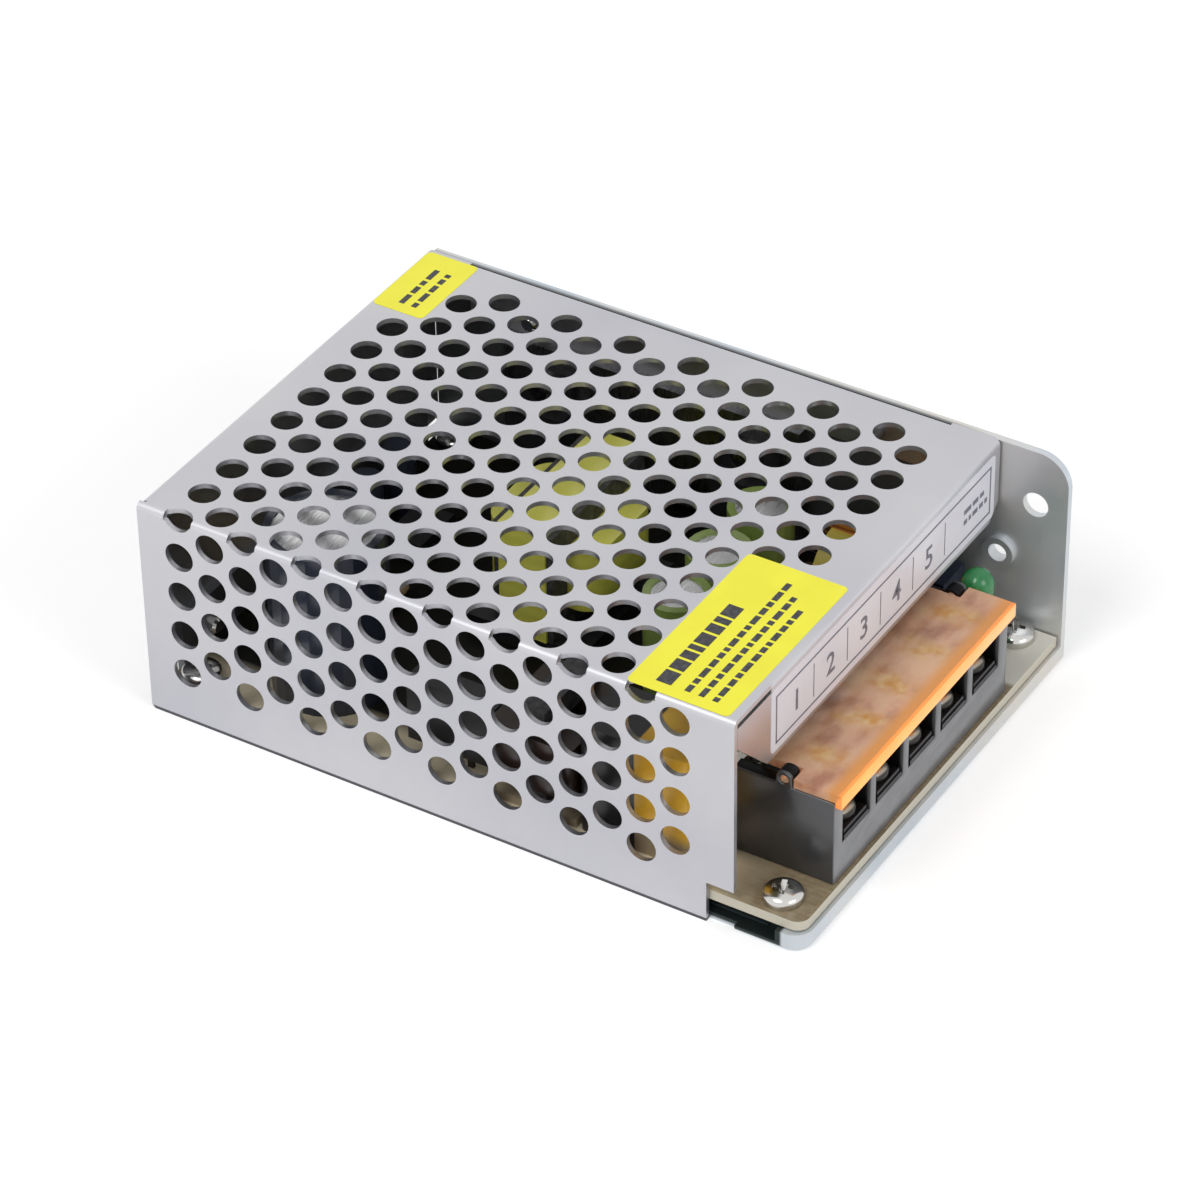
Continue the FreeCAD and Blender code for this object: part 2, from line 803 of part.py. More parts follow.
def make_board_fasteners():
    screws, standoffs = [], []
    for number, (x, y) in enumerate(BOARD_SCREW_PLACES):
        standoff = prism(f"standoff_{number}", (x, y, S.base_sheet), S.standoff_radius, S.standoff_height)
        bore = prism(f"standoff_bore_{number}", (x, y, S.base_sheet), S.board_screw_radius, S.standoff_height)
        standoffs.append(cut(f"standoff_tube_{number}", standoff, [bore]))
        screws.append(pan_screw(
            f"board_screw_{number}", (x, y, BOARD_TOP), "z", S.board_screw_radius, BOARD_TOP - S.fit_gap,
            S.board_screw_head_radius, S.board_screw_head_height,
        ))
    piece(group("Standoffs", standoffs), "board_standoffs")
    piece(group("Board_screws", screws), "board_screws")


def pan_screw(name, seat, along, radius, length, head_radius, head_height, slotted=False):
    """A pan head screw from the middle of its seat; the head rises along +z or, for x, towards -x."""
    step = head_height / 2
    if along == "z":
        shank_start = (seat[0], seat[1], seat[2] - length)
        rim_start, crown_start = seat, (seat[0], seat[1], seat[2] + step)
    else:
        shank_start = seat
        rim_start, crown_start = (seat[0] - step, seat[1], seat[2]), (seat[0] - head_height, seat[1], seat[2])
    whole = fuse(name, [
        prism(name + "_shank", shank_start, radius, length, along),
        prism(name + "_rim", rim_start, head_radius, step, along),
        prism(name + "_crown", crown_start, head_radius * S.screw_crown, step, along),
    ])
    if not slotted:
        return whole
    face = (seat[0], seat[1], seat[2] + head_height)
    return cut(name + "_slotted", whole, cross_slot(name + "_slot", face, head_radius * S.screw_slot_reach))


def make_insulating_sheet():
    low = (BASE_LEFT + S.base_sheet + S.part_gap, FRONT + S.base_sheet + S.part_gap, S.base_sheet)
    high = (WALL_INSIDE - S.part_gap, BASE_BACK - S.base_sheet - S.part_gap)
    sheet = box("Insulation", low, (high[0] - low[0], high[1] - low[1], S.insulation_thickness))
    holes = [
        prism(f"insulation_hole_{number}", (x, y, S.base_sheet), S.standoff_radius + S.fit_gap,
              S.insulation_thickness)
        for number, (x, y) in enumerate(BOARD_SCREW_PLACES)
    ]
    piece(cut("Insulation_cut", sheet, holes), "insulating_sheet")


# The terminal block, from its middle line and its front face
TERMINAL_WIDTH = S.terminal_pitch * TERMINALS - S.terminal_divider + S.terminal_cheek * 2
TERMINAL_LEFT = S.terminal_offset_x - TERMINAL_WIDTH / 2
TERMINAL_RIGHT = S.terminal_offset_x + TERMINAL_WIDTH / 2
TERMINAL_FRONT = FRONT + S.terminal_setback
BAY_BACK = TERMINAL_FRONT + S.terminal_bay_depth
TERMINAL_BACK = BAY_BACK + S.terminal_rear_depth
TERMINAL_FLOOR = BOARD_TOP + S.terminal_floor
TERMINAL_TOP = BOARD_TOP + S.terminal_height
BAY_WIDTH = S.terminal_pitch - S.terminal_divider
FIRST_BAY = TERMINAL_LEFT + S.terminal_cheek + BAY_WIDTH / 2
PLATE_SIDE = BAY_WIDTH - S.plate_margin * 2
PLATE_TOP = TERMINAL_FLOOR + S.plate_thickness
SCREW_LINE = TERMINAL_FRONT + S.fit_gap + PLATE_SIDE / 2
HINGE_Y = BAY_BACK + S.lid_thickness / 2 + S.hinge_clearance
HINGE_Z = TERMINAL_TOP + S.part_gap + S.lid_thickness / 2


def make_terminal_housing():
    """The moulded block: floor and rear body, bay dividers, and end cheeks that carry the lid's hinge."""
    body = new_body("Terminal_block")
    section = sketch_on(body, "YZ_Plane", TERMINAL_LEFT, "block_section")
    outline(section, [
        (TERMINAL_FRONT, BOARD_TOP),
        (TERMINAL_BACK, BOARD_TOP),
        (TERMINAL_BACK, BOARD_TOP + S.terminal_rear_height),
        (BAY_BACK, BOARD_TOP + S.terminal_rear_height),
        (BAY_BACK, TERMINAL_FLOOR),
        (TERMINAL_FRONT, TERMINAL_FLOOR),
    ])
    pad(body, section, TERMINAL_WIDTH, "block")

    divider_start = TERMINAL_LEFT + S.terminal_cheek + BAY_WIDTH
    divider = sketch_on(body, "YZ_Plane", divider_start, "divider_outline")
    rectangle(divider, TERMINAL_FRONT, BOARD_TOP, BAY_BACK, TERMINAL_TOP)
    first = pad(body, divider, S.terminal_divider, "divider")
    repeat(body, first, [("X_Axis", S.terminal_pitch, TERMINALS - 1, False)], "dividers")

    cheek = sketch_on(body, "YZ_Plane", TERMINAL_LEFT, "cheek_outline")
    outline(cheek, [
        (TERMINAL_FRONT, BOARD_TOP),
        (TERMINAL_BACK, BOARD_TOP),
        (TERMINAL_BACK, TERMINAL_TOP),
        (HINGE_Y + S.hinge_lug_radius, TERMINAL_TOP),
        (HINGE_Y + S.hinge_lug_radius, HINGE_Z + S.hinge_lug_radius, S.hinge_lug_round),
        (HINGE_Y - S.hinge_lug_radius, HINGE_Z + S.hinge_lug_radius, S.hinge_lug_round),
        (HINGE_Y - S.hinge_lug_radius, TERMINAL_TOP),
        (TERMINAL_FRONT, TERMINAL_TOP),
    ])
    circle(cheek, HINGE_Y, HINGE_Z, S.hinge_pin_radius + S.hinge_running_gap)
    left_cheek = pad(body, cheek, S.terminal_cheek, "cheek")
    repeat(body, left_cheek, [("X_Axis", TERMINAL_WIDTH - S.terminal_cheek, 2, False)], "cheeks")

    bore = sketch_on(body, "XY_Plane", TERMINAL_FLOOR, "screw_bore_outline")
    small_hole(bore, FIRST_BAY, SCREW_LINE, S.terminal_screw_radius + S.part_gap)
    first_bore = pocket(body, bore, S.terminal_screw_length - S.plate_thickness, "screw_bore")
    repeat(body, first_bore, [("X_Axis", S.terminal_pitch, TERMINALS, False)], "screw_bores")
    piece(body, "terminal_housing")


def bay_middle(number):
    return FIRST_BAY + S.terminal_pitch * number


def make_terminal_plates():
    plates = []
    for number in range(TERMINALS):
        x = bay_middle(number)
        plate = centred_box(
            f"plate_{number}", x, SCREW_LINE, TERMINAL_FLOOR, (PLATE_SIDE, PLATE_SIDE, S.plate_thickness)
        )
        hole = prism(
            f"plate_hole_{number}", (x, SCREW_LINE, TERMINAL_FLOOR), S.terminal_screw_radius + S.part_gap,
            S.plate_thickness,
        )
        plates.append(cut(f"plate_cut_{number}", plate, [hole]))
    piece(group("Terminal_plates", plates), "terminal_plates")


def make_terminal_screws():
    """Each screw lifts with its square clamp washer to let a wire in under the washer."""
    seat = PLATE_TOP + S.fit_gap
    for number in range(TERMINALS):
        x = bay_middle(number)
        washer = centred_box(
            f"clamp_{number}", x, SCREW_LINE, seat, (S.clamp_side, S.clamp_side, S.clamp_thickness)
        )
        bore = prism(
            f"clamp_bore_{number}", (x, SCREW_LINE, seat), S.terminal_screw_radius + S.hinge_running_gap,
            S.clamp_thickness,
        )
        piece(cut(f"clamp_cut_{number}", washer, [bore]), f"clamp_washer_{number + 1}")
        screw = pan_screw(
            f"terminal_screw_solid_{number}", (x, SCREW_LINE, seat + S.clamp_thickness), "z",
            S.terminal_screw_radius, S.terminal_screw_length, S.terminal_screw_head_radius,
            S.terminal_screw_head_height, slotted=True,
        )
        piece(screw, f"terminal_screw_{number + 1}")


def make_lid():
    """The clear flip lid: a wide front plate with a lip, a narrower tail, and two hinge pins."""
    body = new_body("Lid")
    under = HINGE_Z - S.lid_thickness / 2
    over = HINGE_Z + S.lid_thickness / 2
    lip_back = TERMINAL_FRONT - S.fit_gap
    lug_clear = S.hinge_lug_radius + S.part_gap
    plate = sketch_on(body, "YZ_Plane", TERMINAL_LEFT, "lid_section")
    outline(plate, [
        (lip_back - S.lid_lip_thickness, over - S.lid_lip_height),
        (lip_back, over - S.lid_lip_height),
        (lip_back, under),
        (HINGE_Y - lug_clear, under),
        (HINGE_Y - lug_clear, over),
        (lip_back - S.lid_lip_thickness, over),
    ])
    pad(body, plate, TERMINAL_WIDTH, "lid_front")

    inner_left = TERMINAL_LEFT + S.terminal_cheek + S.part_gap
    inner_width = TERMINAL_WIDTH - (S.terminal_cheek + S.part_gap) * 2
    tail = sketch_on(body, "YZ_Plane", inner_left, "lid_tail_section")
    rectangle(tail, HINGE_Y - lug_clear, under, HINGE_Y + S.lid_tail, over)
    pad(body, tail, inner_width, "lid_tail")

    pins = sketch_on(body, "YZ_Plane", TERMINAL_LEFT + S.part_gap, "hinge_pin_outline")
    circle(pins, HINGE_Y, HINGE_Z, S.hinge_pin_radius)
    pad(body, pins, TERMINAL_WIDTH - S.part_gap * 2, "hinge_pins")
    piece(body, "terminal_lid")


LED_X = TERMINAL_RIGHT + S.led_from_terminal
LED_Y = FRONT + S.led_setback


def make_led():
    body = new_body("Led_lens")
    low = BOARD_TOP + S.led_lead_length
    profile = sketch_on(body, "XZ_Plane", 0, "led_profile")
    shoulder = low + S.led_length - S.led_radius
    outline(profile, [
        (0, low),
        (S.led_radius + S.led_flange, low),
        (S.led_radius + S.led_flange, low + S.led_flange_height),
        (S.led_radius, low + S.led_flange_height),
        (S.led_radius, shoulder),
        (S.led_radius * 0.85, shoulder + S.led_radius * 0.5),
        (S.led_radius * 0.5, shoulder + S.led_radius * 0.85),
        (0, shoulder + S.led_radius),
    ])
    spin = body.newObject("PartDesign::Revolution", "led_body")
    spin.Profile = profile
    spin.ReferenceAxis = (profile, ["V_Axis"])
    spin.Angle = 360
    place(body, LED_X, LED_Y, 0)
    piece(body, "led")
    leads = [
        centred_box(
            f"led_lead_{number}", LED_X + S.led_lead_spacing * (number - 0.5), LED_Y, BOARD_TOP,
            (S.led_lead_width, S.led_lead_width, S.led_lead_length),
        )
        for number in range(2)
    ]
    piece(group("Led_leads", leads), "led_leads")


TRIMMER_X = WALL_INSIDE - S.trimmer_inset
TRIMMER_FRONT = FRONT + S.trimmer_setback
TRIMMER_Z = BOARD_TOP + S.trimmer_height / 2


def make_trimmer():
    """The output voltage trimmer, turned by a screwdriver from the terminal end."""
    block = centred_box(
        "Trimmer_block", TRIMMER_X, TRIMMER_FRONT + S.trimmer_depth / 2, BOARD_TOP,
        (S.trimmer_width, S.trimmer_depth, S.trimmer_height),
    )
    seat = cylinder(
        "trimmer_seat", (TRIMMER_X, TRIMMER_FRONT, TRIMMER_Z), S.trimmer_rotor_radius + S.hinge_running_gap,
        S.trimmer_rotor_depth, "y",
    )
    piece(cut("Trimmer_cut", block, [seat]), "trimmer_body")
    radius = S.trimmer_rotor_radius
    face = TRIMMER_FRONT - S.part_gap
    wide = S.trimmer_slot_width
    rotor = cylinder("Rotor", (TRIMMER_X, face, TRIMMER_Z), radius, S.trimmer_rotor_depth, "y")
    slot = box("rotor_slot", (TRIMMER_X - radius, face, TRIMMER_Z - wide / 2), (radius * 2, wide, wide))
    piece(cut("Rotor_slotted", rotor, [slot]), "trimmer_rotor")


def make_filter_capacitor():
    y = FRONT + S.filter_capacitor_setback + S.filter_capacitor_length / 2
    block = centred_box(
        "Filter_capacitor", INPUT_LEFT + S.filter_capacitor_width / 2, y, BOARD_TOP,
        (S.filter_capacitor_width, S.filter_capacitor_length, S.filter_capacitor_height),
    )
    smooth = rounded("Filter_capacitor_rounded", block, S.body_round, upright)
    piece(smooth, "filter_capacitor")


def make_line_choke():
    """The input choke: a closed square core with a winding round each long side."""
    x = INPUT_LEFT + S.choke_core_width / 2
    y = FRONT + S.choke_setback + S.choke_core_length / 2
    low = BOARD_TOP + S.choke_winding_wall
    core = centred_box("Choke_core", x, y, low, (S.choke_core_width, S.choke_leg, S.choke_core_height))
    window = centred_box(
        "Choke_window", x, y, low + S.choke_leg,
        (S.choke_core_width - S.choke_leg * 2, S.choke_leg, S.choke_core_height - S.choke_leg * 2),
    )
    piece(cut("Choke_frame", core, [window]), "line_choke_core")
    windings = []
    high = low + S.choke_core_height - S.choke_leg
    for number, side in enumerate((-1, 1)):
        middle = x + side * (S.choke_core_width - S.choke_leg) / 2
        coil = centred_box(
            f"choke_coil_{number}", middle, y, low + S.choke_leg,
            (S.choke_leg + S.choke_winding_wall * 2, S.choke_core_length, high - low - S.choke_leg),
        )
        limb = centred_box(
            f"choke_limb_{number}", middle, y, low + S.choke_leg,
            (S.choke_leg, S.choke_leg, high - low - S.choke_leg),
        )
        smooth = rounded(f"choke_coil_round_{number}", coil, S.choke_winding_wall, upright)
        windings.append(cut(f"choke_winding_{number}", smooth, [limb]))
    piece(group("Choke_windings", windings), "line_choke_windings")
    foot = centred_box(
        "Choke_foot", x, y, BOARD_TOP, (S.choke_core_width, S.choke_core_length, S.choke_winding_wall)
    )
    piece(foot, "line_choke_base")


def make_bridge_rectifier():
    x = INPUT_LEFT + S.bridge_thickness
    y = FRONT + S.bridge_setback + S.bridge_length / 2
    block = centred_box(
        "Bridge", x, y, BOARD_TOP + S.bridge_stand_off, (S.bridge_thickness, S.bridge_length, S.bridge_height)
    )
    legs = [
        centred_box(
            f"bridge_leg_{number}", x, y + S.bridge_length * ((number + 0.5) / BRIDGE_LEGS - 0.5), BOARD_TOP,
            (S.led_lead_width, S.led_lead_width * 2, S.bridge_stand_off),
        )
        for number in range(BRIDGE_LEGS)
    ]
    piece(fuse("Bridge_with_legs", [block] + legs), "bridge_rectifier")


def upright_can(name, x, y, radius, height):
    """An electrolytic capacitor: a sleeved can whose bare top sits in the rolled edge of the sleeve."""
    can = prism(name + "_can", (x, y, BOARD_TOP), radius, height, sides=CAN_SIDES)
    seat = (x, y, BOARD_TOP + height - S.can_top_depth)
    recess = prism(name + "_recess", seat, radius - S.sleeve_lip, S.can_top_depth, sides=CAN_SIDES)
    return cut(name, can, [recess])


def can_top(name, x, y, radius, height):
    """The scored bare top of a can, seated in the sleeve."""
    seat = (x, y, BOARD_TOP + height - S.can_top_depth)
    return prism(name, seat, radius - S.sleeve_lip, S.can_top_depth / 2, sides=CAN_SIDES)


def make_capacitors():
    bulk_x = COVER_LEFT_INSIDE + S.bulk_capacitor_inset + S.bulk_capacitor_radius
    bulk_y = BACK - S.bulk_capacitor_setback
    bulk = (bulk_x, bulk_y, S.bulk_capacitor_radius, S.bulk_capacitor_height)
    piece(upright_can("Bulk_capacitor", *bulk), "bulk_capacitor")
    outputs = [
        (
            S.transformer_offset_x + S.output_capacitor_pitch * (number - 1),
            FRONT + S.output_capacitor_setback, S.output_capacitor_radius, S.output_capacitor_height,
        )
        for number in range(OUTPUT_CAPACITORS)
    ]
    cans = [upright_can(f"output_can_{number}", *where) for number, where in enumerate(outputs)]
    piece(group("Output_capacitors", cans), "output_capacitors")
    tops = [can_top(f"can_top_{number}", *where) for number, where in enumerate([bulk] + outputs)]
    piece(group("Capacitor_tops", tops), "capacitor_tops")
    small = [
        prism(
            f"small_can_{number}",
            (S.small_capacitor_offset_x + S.small_capacitor_pitch * number, BACK - S.small_capacitor_setback,
             BOARD_TOP),
            S.small_capacitor_radius, S.small_capacitor_height,
        )
        for number in range(SMALL_CAPACITORS)
    ]
    piece(group("Small_capacitors", small), "small_capacitors")


def make_transformer():
    """The transformer: a standing core of two windows, its winding, a pin base and an outer band of tape."""
    x = S.transformer_offset_x
    y = FRONT + S.transformer_setback
    low = BOARD_TOP + S.transformer_base_height
    window_width = (S.transformer_core_width - S.transformer_leg * 2 - S.transformer_centre_leg) / 2
    window_height = S.transformer_core_height - S.transformer_leg * 2
    outer = centred_box(
        "Core_block", x, y, low,
        (S.transformer_core_width, S.transformer_core_depth, S.transformer_core_height)
    )
    windows = [
        centred_box(
            f"core_window_{number}", x + side * (S.transformer_centre_leg + window_width) / 2, y,
            low + S.transformer_leg, (window_width, S.transformer_core_depth, window_height),
        )
        for number, side in enumerate((-1, 1))
    ]
    piece(cut("Core_frame", outer, windows), "transformer_core")

    winding_width = S.transformer_core_width - S.transformer_leg * 2 - S.part_gap * 2
    coil = centred_box(
        "Coil_block", x, y, low + S.transformer_leg,
        (winding_width, S.transformer_winding_depth, window_height)
    )
    smooth = rounded("Coil_rounded", coil, S.transformer_leg, upright)
    limb = centred_box(
        "coil_limb", x, y, low + S.transformer_leg,
        (S.transformer_centre_leg, S.transformer_core_depth, window_height),
    )
    piece(cut("Coil", smooth, [limb]), "transformer_winding")

    base = centred_box(
        "Transformer_base", x, y, BOARD_TOP,
        (S.transformer_core_width, S.transformer_winding_depth, S.transformer_base_height),
    )
    piece(base, "transformer_base")

    wrap = centred_box(
        "Tape_block", x, y, low,
        (S.transformer_core_width + S.transformer_tape * 2, S.transformer_tape_depth,
         S.transformer_core_height + S.transformer_tape),
    )
    inside = centred_box(
        "Tape_inside", x, y, low,
        (S.transformer_core_width, S.transformer_tape_depth, S.transformer_core_height),
    )
    piece(cut("Tape", wrap, [inside]), "transformer_tape")


BAR_INSIDE = WALL_INSIDE - S.bar_thickness
BAR_FRONT = FRONT + S.bar_setback
DEVICE_LOW = BOARD_TOP + S.bar_lift + S.device_thickness / 2
CLAMP_HEIGHT = DEVICE_LOW + (S.device_body_height + S.device_height) / 2
DEVICE_PLACES = [BAR_FRONT + S.device_inset, BAR_FRONT + S.bar_length - S.device_inset]


def make_heat_bar():
    """An aluminium bar against the solid wall, which takes the heat of the two devices clamped to it."""
    bar = box(
        "Bar", (BAR_INSIDE, BAR_FRONT, BOARD_TOP + S.bar_lift), (S.bar_thickness, S.bar_length, S.bar_height)
    )
    holes = [
        prism(f"bar_hole_{number}", (BAR_INSIDE, y, CLAMP_HEIGHT), S.clamp_screw_radius, S.bar_thickness, "x")
        for number, y in enumerate(DEVICE_PLACES)
    ]
    piece(cut("Bar_drilled", bar, holes), "heat_bar")


def power_device(name, y):
    """A three-leg power device: a metal tab with a hole, a moulded body and its legs."""
    tab_x = BAR_INSIDE - S.device_tab_thickness
    near_side = y - S.device_width / 2
    tab = box(
        name + "_tab", (tab_x, near_side, DEVICE_LOW),
        (S.device_tab_thickness, S.device_width, S.device_height)
    )
    body = box(
        name + "_body", (BAR_INSIDE - S.device_thickness, near_side, DEVICE_LOW),
        (S.device_thickness, S.device_width, S.device_body_height),
    )
    leg_x = BAR_INSIDE - S.device_thickness / 2
    legs = [
        centred_box(
            f"{name}_leg_{number}", leg_x, y + S.led_lead_spacing * (number - 1), BOARD_TOP,
            (S.led_lead_width, S.led_lead_width, DEVICE_LOW - BOARD_TOP),
        )
        for number in range(3)
    ]
    hole = prism(name + "_hole", (tab_x, y, CLAMP_HEIGHT), S.clamp_screw_radius, S.device_tab_thickness, "x")
    return cut(name, fuse(name + "_whole", [tab, body] + legs), [hole])


def make_power_devices():
    piece(power_device("Diode", DEVICE_PLACES[0]), "output_diode")
    piece(power_device("Switch", DEVICE_PLACES[1]), "switching_transistor")
    reach = S.device_tab_thickness + S.bar_thickness + S.base_sheet - S.fit_gap
    screws = [
        pan_screw(
            f"clamp_screw_{number}", (BAR_INSIDE - S.device_tab_thickness, y, CLAMP_HEIGHT), "x",
            S.clamp_screw_radius, reach, S.clamp_screw_head_radius, S.clamp_screw_head_height,
        )
        for number, y in enumerate(DEVICE_PLACES)
    ]
    piece(group("Clamp_screws", screws), "clamp_screws")


def make_output_choke():
    """A ring core standing on edge, wound with squared turns of thick wire that meet in its bore."""
    x = WALL_INSIDE - S.ring_inset
    y = FRONT + S.ring_setback
    z = BOARD_TOP + S.ring_radius + S.wire_radius * 2
    half = S.ring_thickness / 2
    ring = cylinder("Ring_outer", (x, y - half, z), S.ring_radius, S.ring_thickness, "y")
    bore = cylinder("Ring_bore", (x, y - half, z), S.ring_bore_radius, S.ring_thickness, "y")
    piece(cut("Ring", ring, [bore]), "output_choke_core")

    body = new_body("Ring_winding")
    wire = S.wire_radius * 2
    outer = sketch_on(body, "XZ_Plane", -half - wire, "turn_outline")
    rectangle(outer, -S.wire_radius, S.ring_bore_radius - wire, S.wire_radius, S.ring_radius + wire)
    turn = pad(body, outer, (half + wire) * 2, "turn")
    turns = body.newObject("PartDesign::PolarPattern", "turns")
    turns.Originals = [turn]
    turns.Axis = (origin_feature(body, "Y_Axis"), [""])
    turns.Angle = 360
    bind(turns, "Occurrences", S.ring_turns)
    turns.Refine = False
    body.Tip = turns
    core = sketch_on(body, "XZ_Plane", -half, "core_space_outline")
    circle(core, 0, 0, S.ring_radius)
    circle(core, 0, 0, S.ring_bore_radius)
    pocket(body, core, half * 2, "core_space", forwards=True)
    place(body, x, y, z)
    piece(body, "output_choke_winding")


def make_fuse():
    """A glass tube fuse between two spring clips."""
    x = S.fuse_offset_x
    y = FRONT + S.fuse_setback
    z = BOARD_TOP + S.fuse_radius + S.clip_thickness
    left = x - S.fuse_length / 2
    tube_length = S.fuse_length - S.fuse_cap_length * 2
    glass = prism(
        "Fuse_glass", (left + S.fuse_cap_length, y, z), S.fuse_radius - S.clip_thickness / 2, tube_length, "x"
    )
    piece(glass, "fuse_tube")
    caps = [
        prism(f"fuse_cap_{number}", (left + (S.fuse_length - S.fuse_cap_length) * number, y, z), S.fuse_radius,
              S.fuse_cap_length, "x")
        for number in range(2)
    ]
    piece(group("Fuse_caps", caps), "fuse_caps")
    clips = []
    for number in range(2):
        start = left + (S.fuse_length - S.fuse_cap_length) * number + S.fuse_cap_length / 4
        width = S.fuse_cap_length / 2
        outside = S.fuse_radius + S.clip_thickness
        cradle = box(f"clip_block_{number}", (start, y - outside, BOARD_TOP), (width, outside * 2, outside))
        space = prism(f"clip_space_{number}", (start, y, z), S.fuse_radius, width, "x")
        clips.append(cut(f"clip_{number}", cradle, [space]))
    piece(group("Fuse_clips", clips), "fuse_clips")


def standing_disc(name, x, y, radius, thickness):
    """A disc part that stands on two leads, its flat faces towards the front and back."""
    z = BOARD_TOP + S.disc_stand_off + radius
    disc = prism(name + "_disc", (x, y - thickness / 2, z), radius, thickness, "y")
    leads = [
        centred_box(
            f"{name}_lead_{number}", x + radius * (number - 0.5), y, BOARD_TOP,
            (S.led_lead_width, S.led_lead_width, S.disc_stand_off + radius / 2),
        )
        for number in range(2)
    ]
    return fuse(name, [disc] + leads)


def make_discs():
    thermistor = standing_disc(
        "Thermistor", S.thermistor_offset_x, FRONT + S.fuse_setback, S.disc_radius, S.disc_thickness
    )
    piece(thermistor, "thermistor")
    discs = [
        standing_disc(
            f"small_disc_{number}", S.small_disc_offset_x,
            FRONT + S.small_disc_setback + S.small_disc_pitch * number,
            S.small_disc_radius, S.small_disc_thickness,
        )
        for number in range(2)
    ]
    piece(group("Safety_capacitors", discs), "safety_capacitors")


def chip(name, x, y, length, pins):
    """A dual in-line package on its rows of pins."""
    low = BOARD_TOP + S.chip_foot
    body = centred_box(name + "_body", x, y, low, (length, S.chip_width, S.chip_height))
    feet = [
        centred_box(
            f"{name}_pin_{row}_{number}", x + S.led_lead_spacing * (number - (pins - 1) / 2),
            y + (S.chip_width + S.chip_foot) / 2 * (row * 2 - 1), BOARD_TOP,
            (S.chip_foot, S.chip_foot, S.chip_height / 2 + S.chip_foot),
        )
        for row in range(2)
        for number in range(pins)
    ]
    return fuse(name, [body] + feet)


def make_chips():
    controller_y = BACK - S.chip_setback
    piece(chip("Controller", S.chip_offset_x, controller_y, S.chip_length, CONTROLLER_PINS), "control_chip")
    coupler_y = FRONT + S.coupler_setback
    piece(chip("Coupler", S.coupler_offset_x, coupler_y, S.coupler_length, COUPLER_PINS), "optocoupler")


def make_resistors():
    bars = []
    z = BOARD_TOP + S.resistor_lift + S.resistor_radius
    for number in range(RESISTORS):
        y = BACK - S.resistor_setback - S.resistor_pitch * number
        left = S.resistor_offset_x - S.resistor_length / 2
        bar = prism(f"resistor_bar_{number}", (left, y, z), S.resistor_radius, S.resistor_length, "x")
        leads = []
        for end in range(2):
            lead_x = left + S.resistor_length * end + S.led_lead_width * (end - 0.5)
            leads.append(centred_box(
                f"resistor_lead_{number}_{end}", lead_x, y, BOARD_TOP,
                (S.led_lead_width, S.led_lead_width, S.resistor_lift + S.resistor_radius),
            ))
        bars.append(fuse(f"resistor_{number}", [bar] + leads))
    piece(group("Resistors", bars), "resistors")


def make_labels():
    """The blank label on the front strip and two yellow ones on the top."""
    left = LEFT + S.strip_left_bare
    width = COVER_RIGHT - S.part_gap - S.label_margin - left
    high = TOP - S.label_margin
    strip = box(
        "Strip_label", (left, COVER_FRONT - S.label_thickness, high - S.label_height),
        (width, S.label_thickness, S.label_height),
    )
    piece(strip, "strip_label")
    plate = box(
        "Top_label", (LEFT + S.cover_fold_radius, FRONT + S.yellow_label_setback, TOP),
        (S.yellow_label_width, S.yellow_label_length, S.label_thickness),
    )
    piece(plate, "top_label")
    corner_low = (
        COVER_RIGHT - S.cover_fold_radius - S.corner_label_width,
        BACK - S.cover_fold_radius - S.corner_label_length, TOP,
    )
    corner = box("Corner_label", corner_low, (S.corner_label_width, S.corner_label_length, S.label_thickness))
    piece(corner, "corner_label")


def check_and_export():
    doc.recompute()
    failed = [thing.Name for thing in doc.Objects if {"Invalid", "Error"} & set(thing.State)]
    if failed:
        raise RuntimeError("failed: " + ", ".join(failed))
    for part in PIECES:
        if part.Shape.isNull() or not part.Shape.isValid():
            raise RuntimeError("bad shape: " + part.Label)
    os.makedirs("parts", exist_ok=True)
    for part in PIECES:
        part.Shape.exportStep(f"parts/{part.Label}.step")
        print(f"{part.Label}: {len(part.Shape.Solids)} solids, {part.Shape.Volume:.1f} mm3")


make_chassis()
make_cover()
make_cover_screws()
make_board()
make_board_fasteners()
make_insulating_sheet()
make_terminal_housing()
make_terminal_plates()
make_terminal_screws()
make_lid()
make_led()
make_trimmer()
make_filter_capacitor()
make_line_choke()
make_bridge_rectifier()
make_capacitors()
make_transformer()
make_heat_bar()
make_power_devices()
make_output_choke()
make_fuse()
make_discs()
make_chips()
make_resistors()
make_labels()
check_and_export()
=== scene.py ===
"""Looks of the mesh case power supply: punched cover, terminals, clear lid, labels and parts inside."""

import math

import bmesh
import bpy
from mathutils import Matrix, Vector


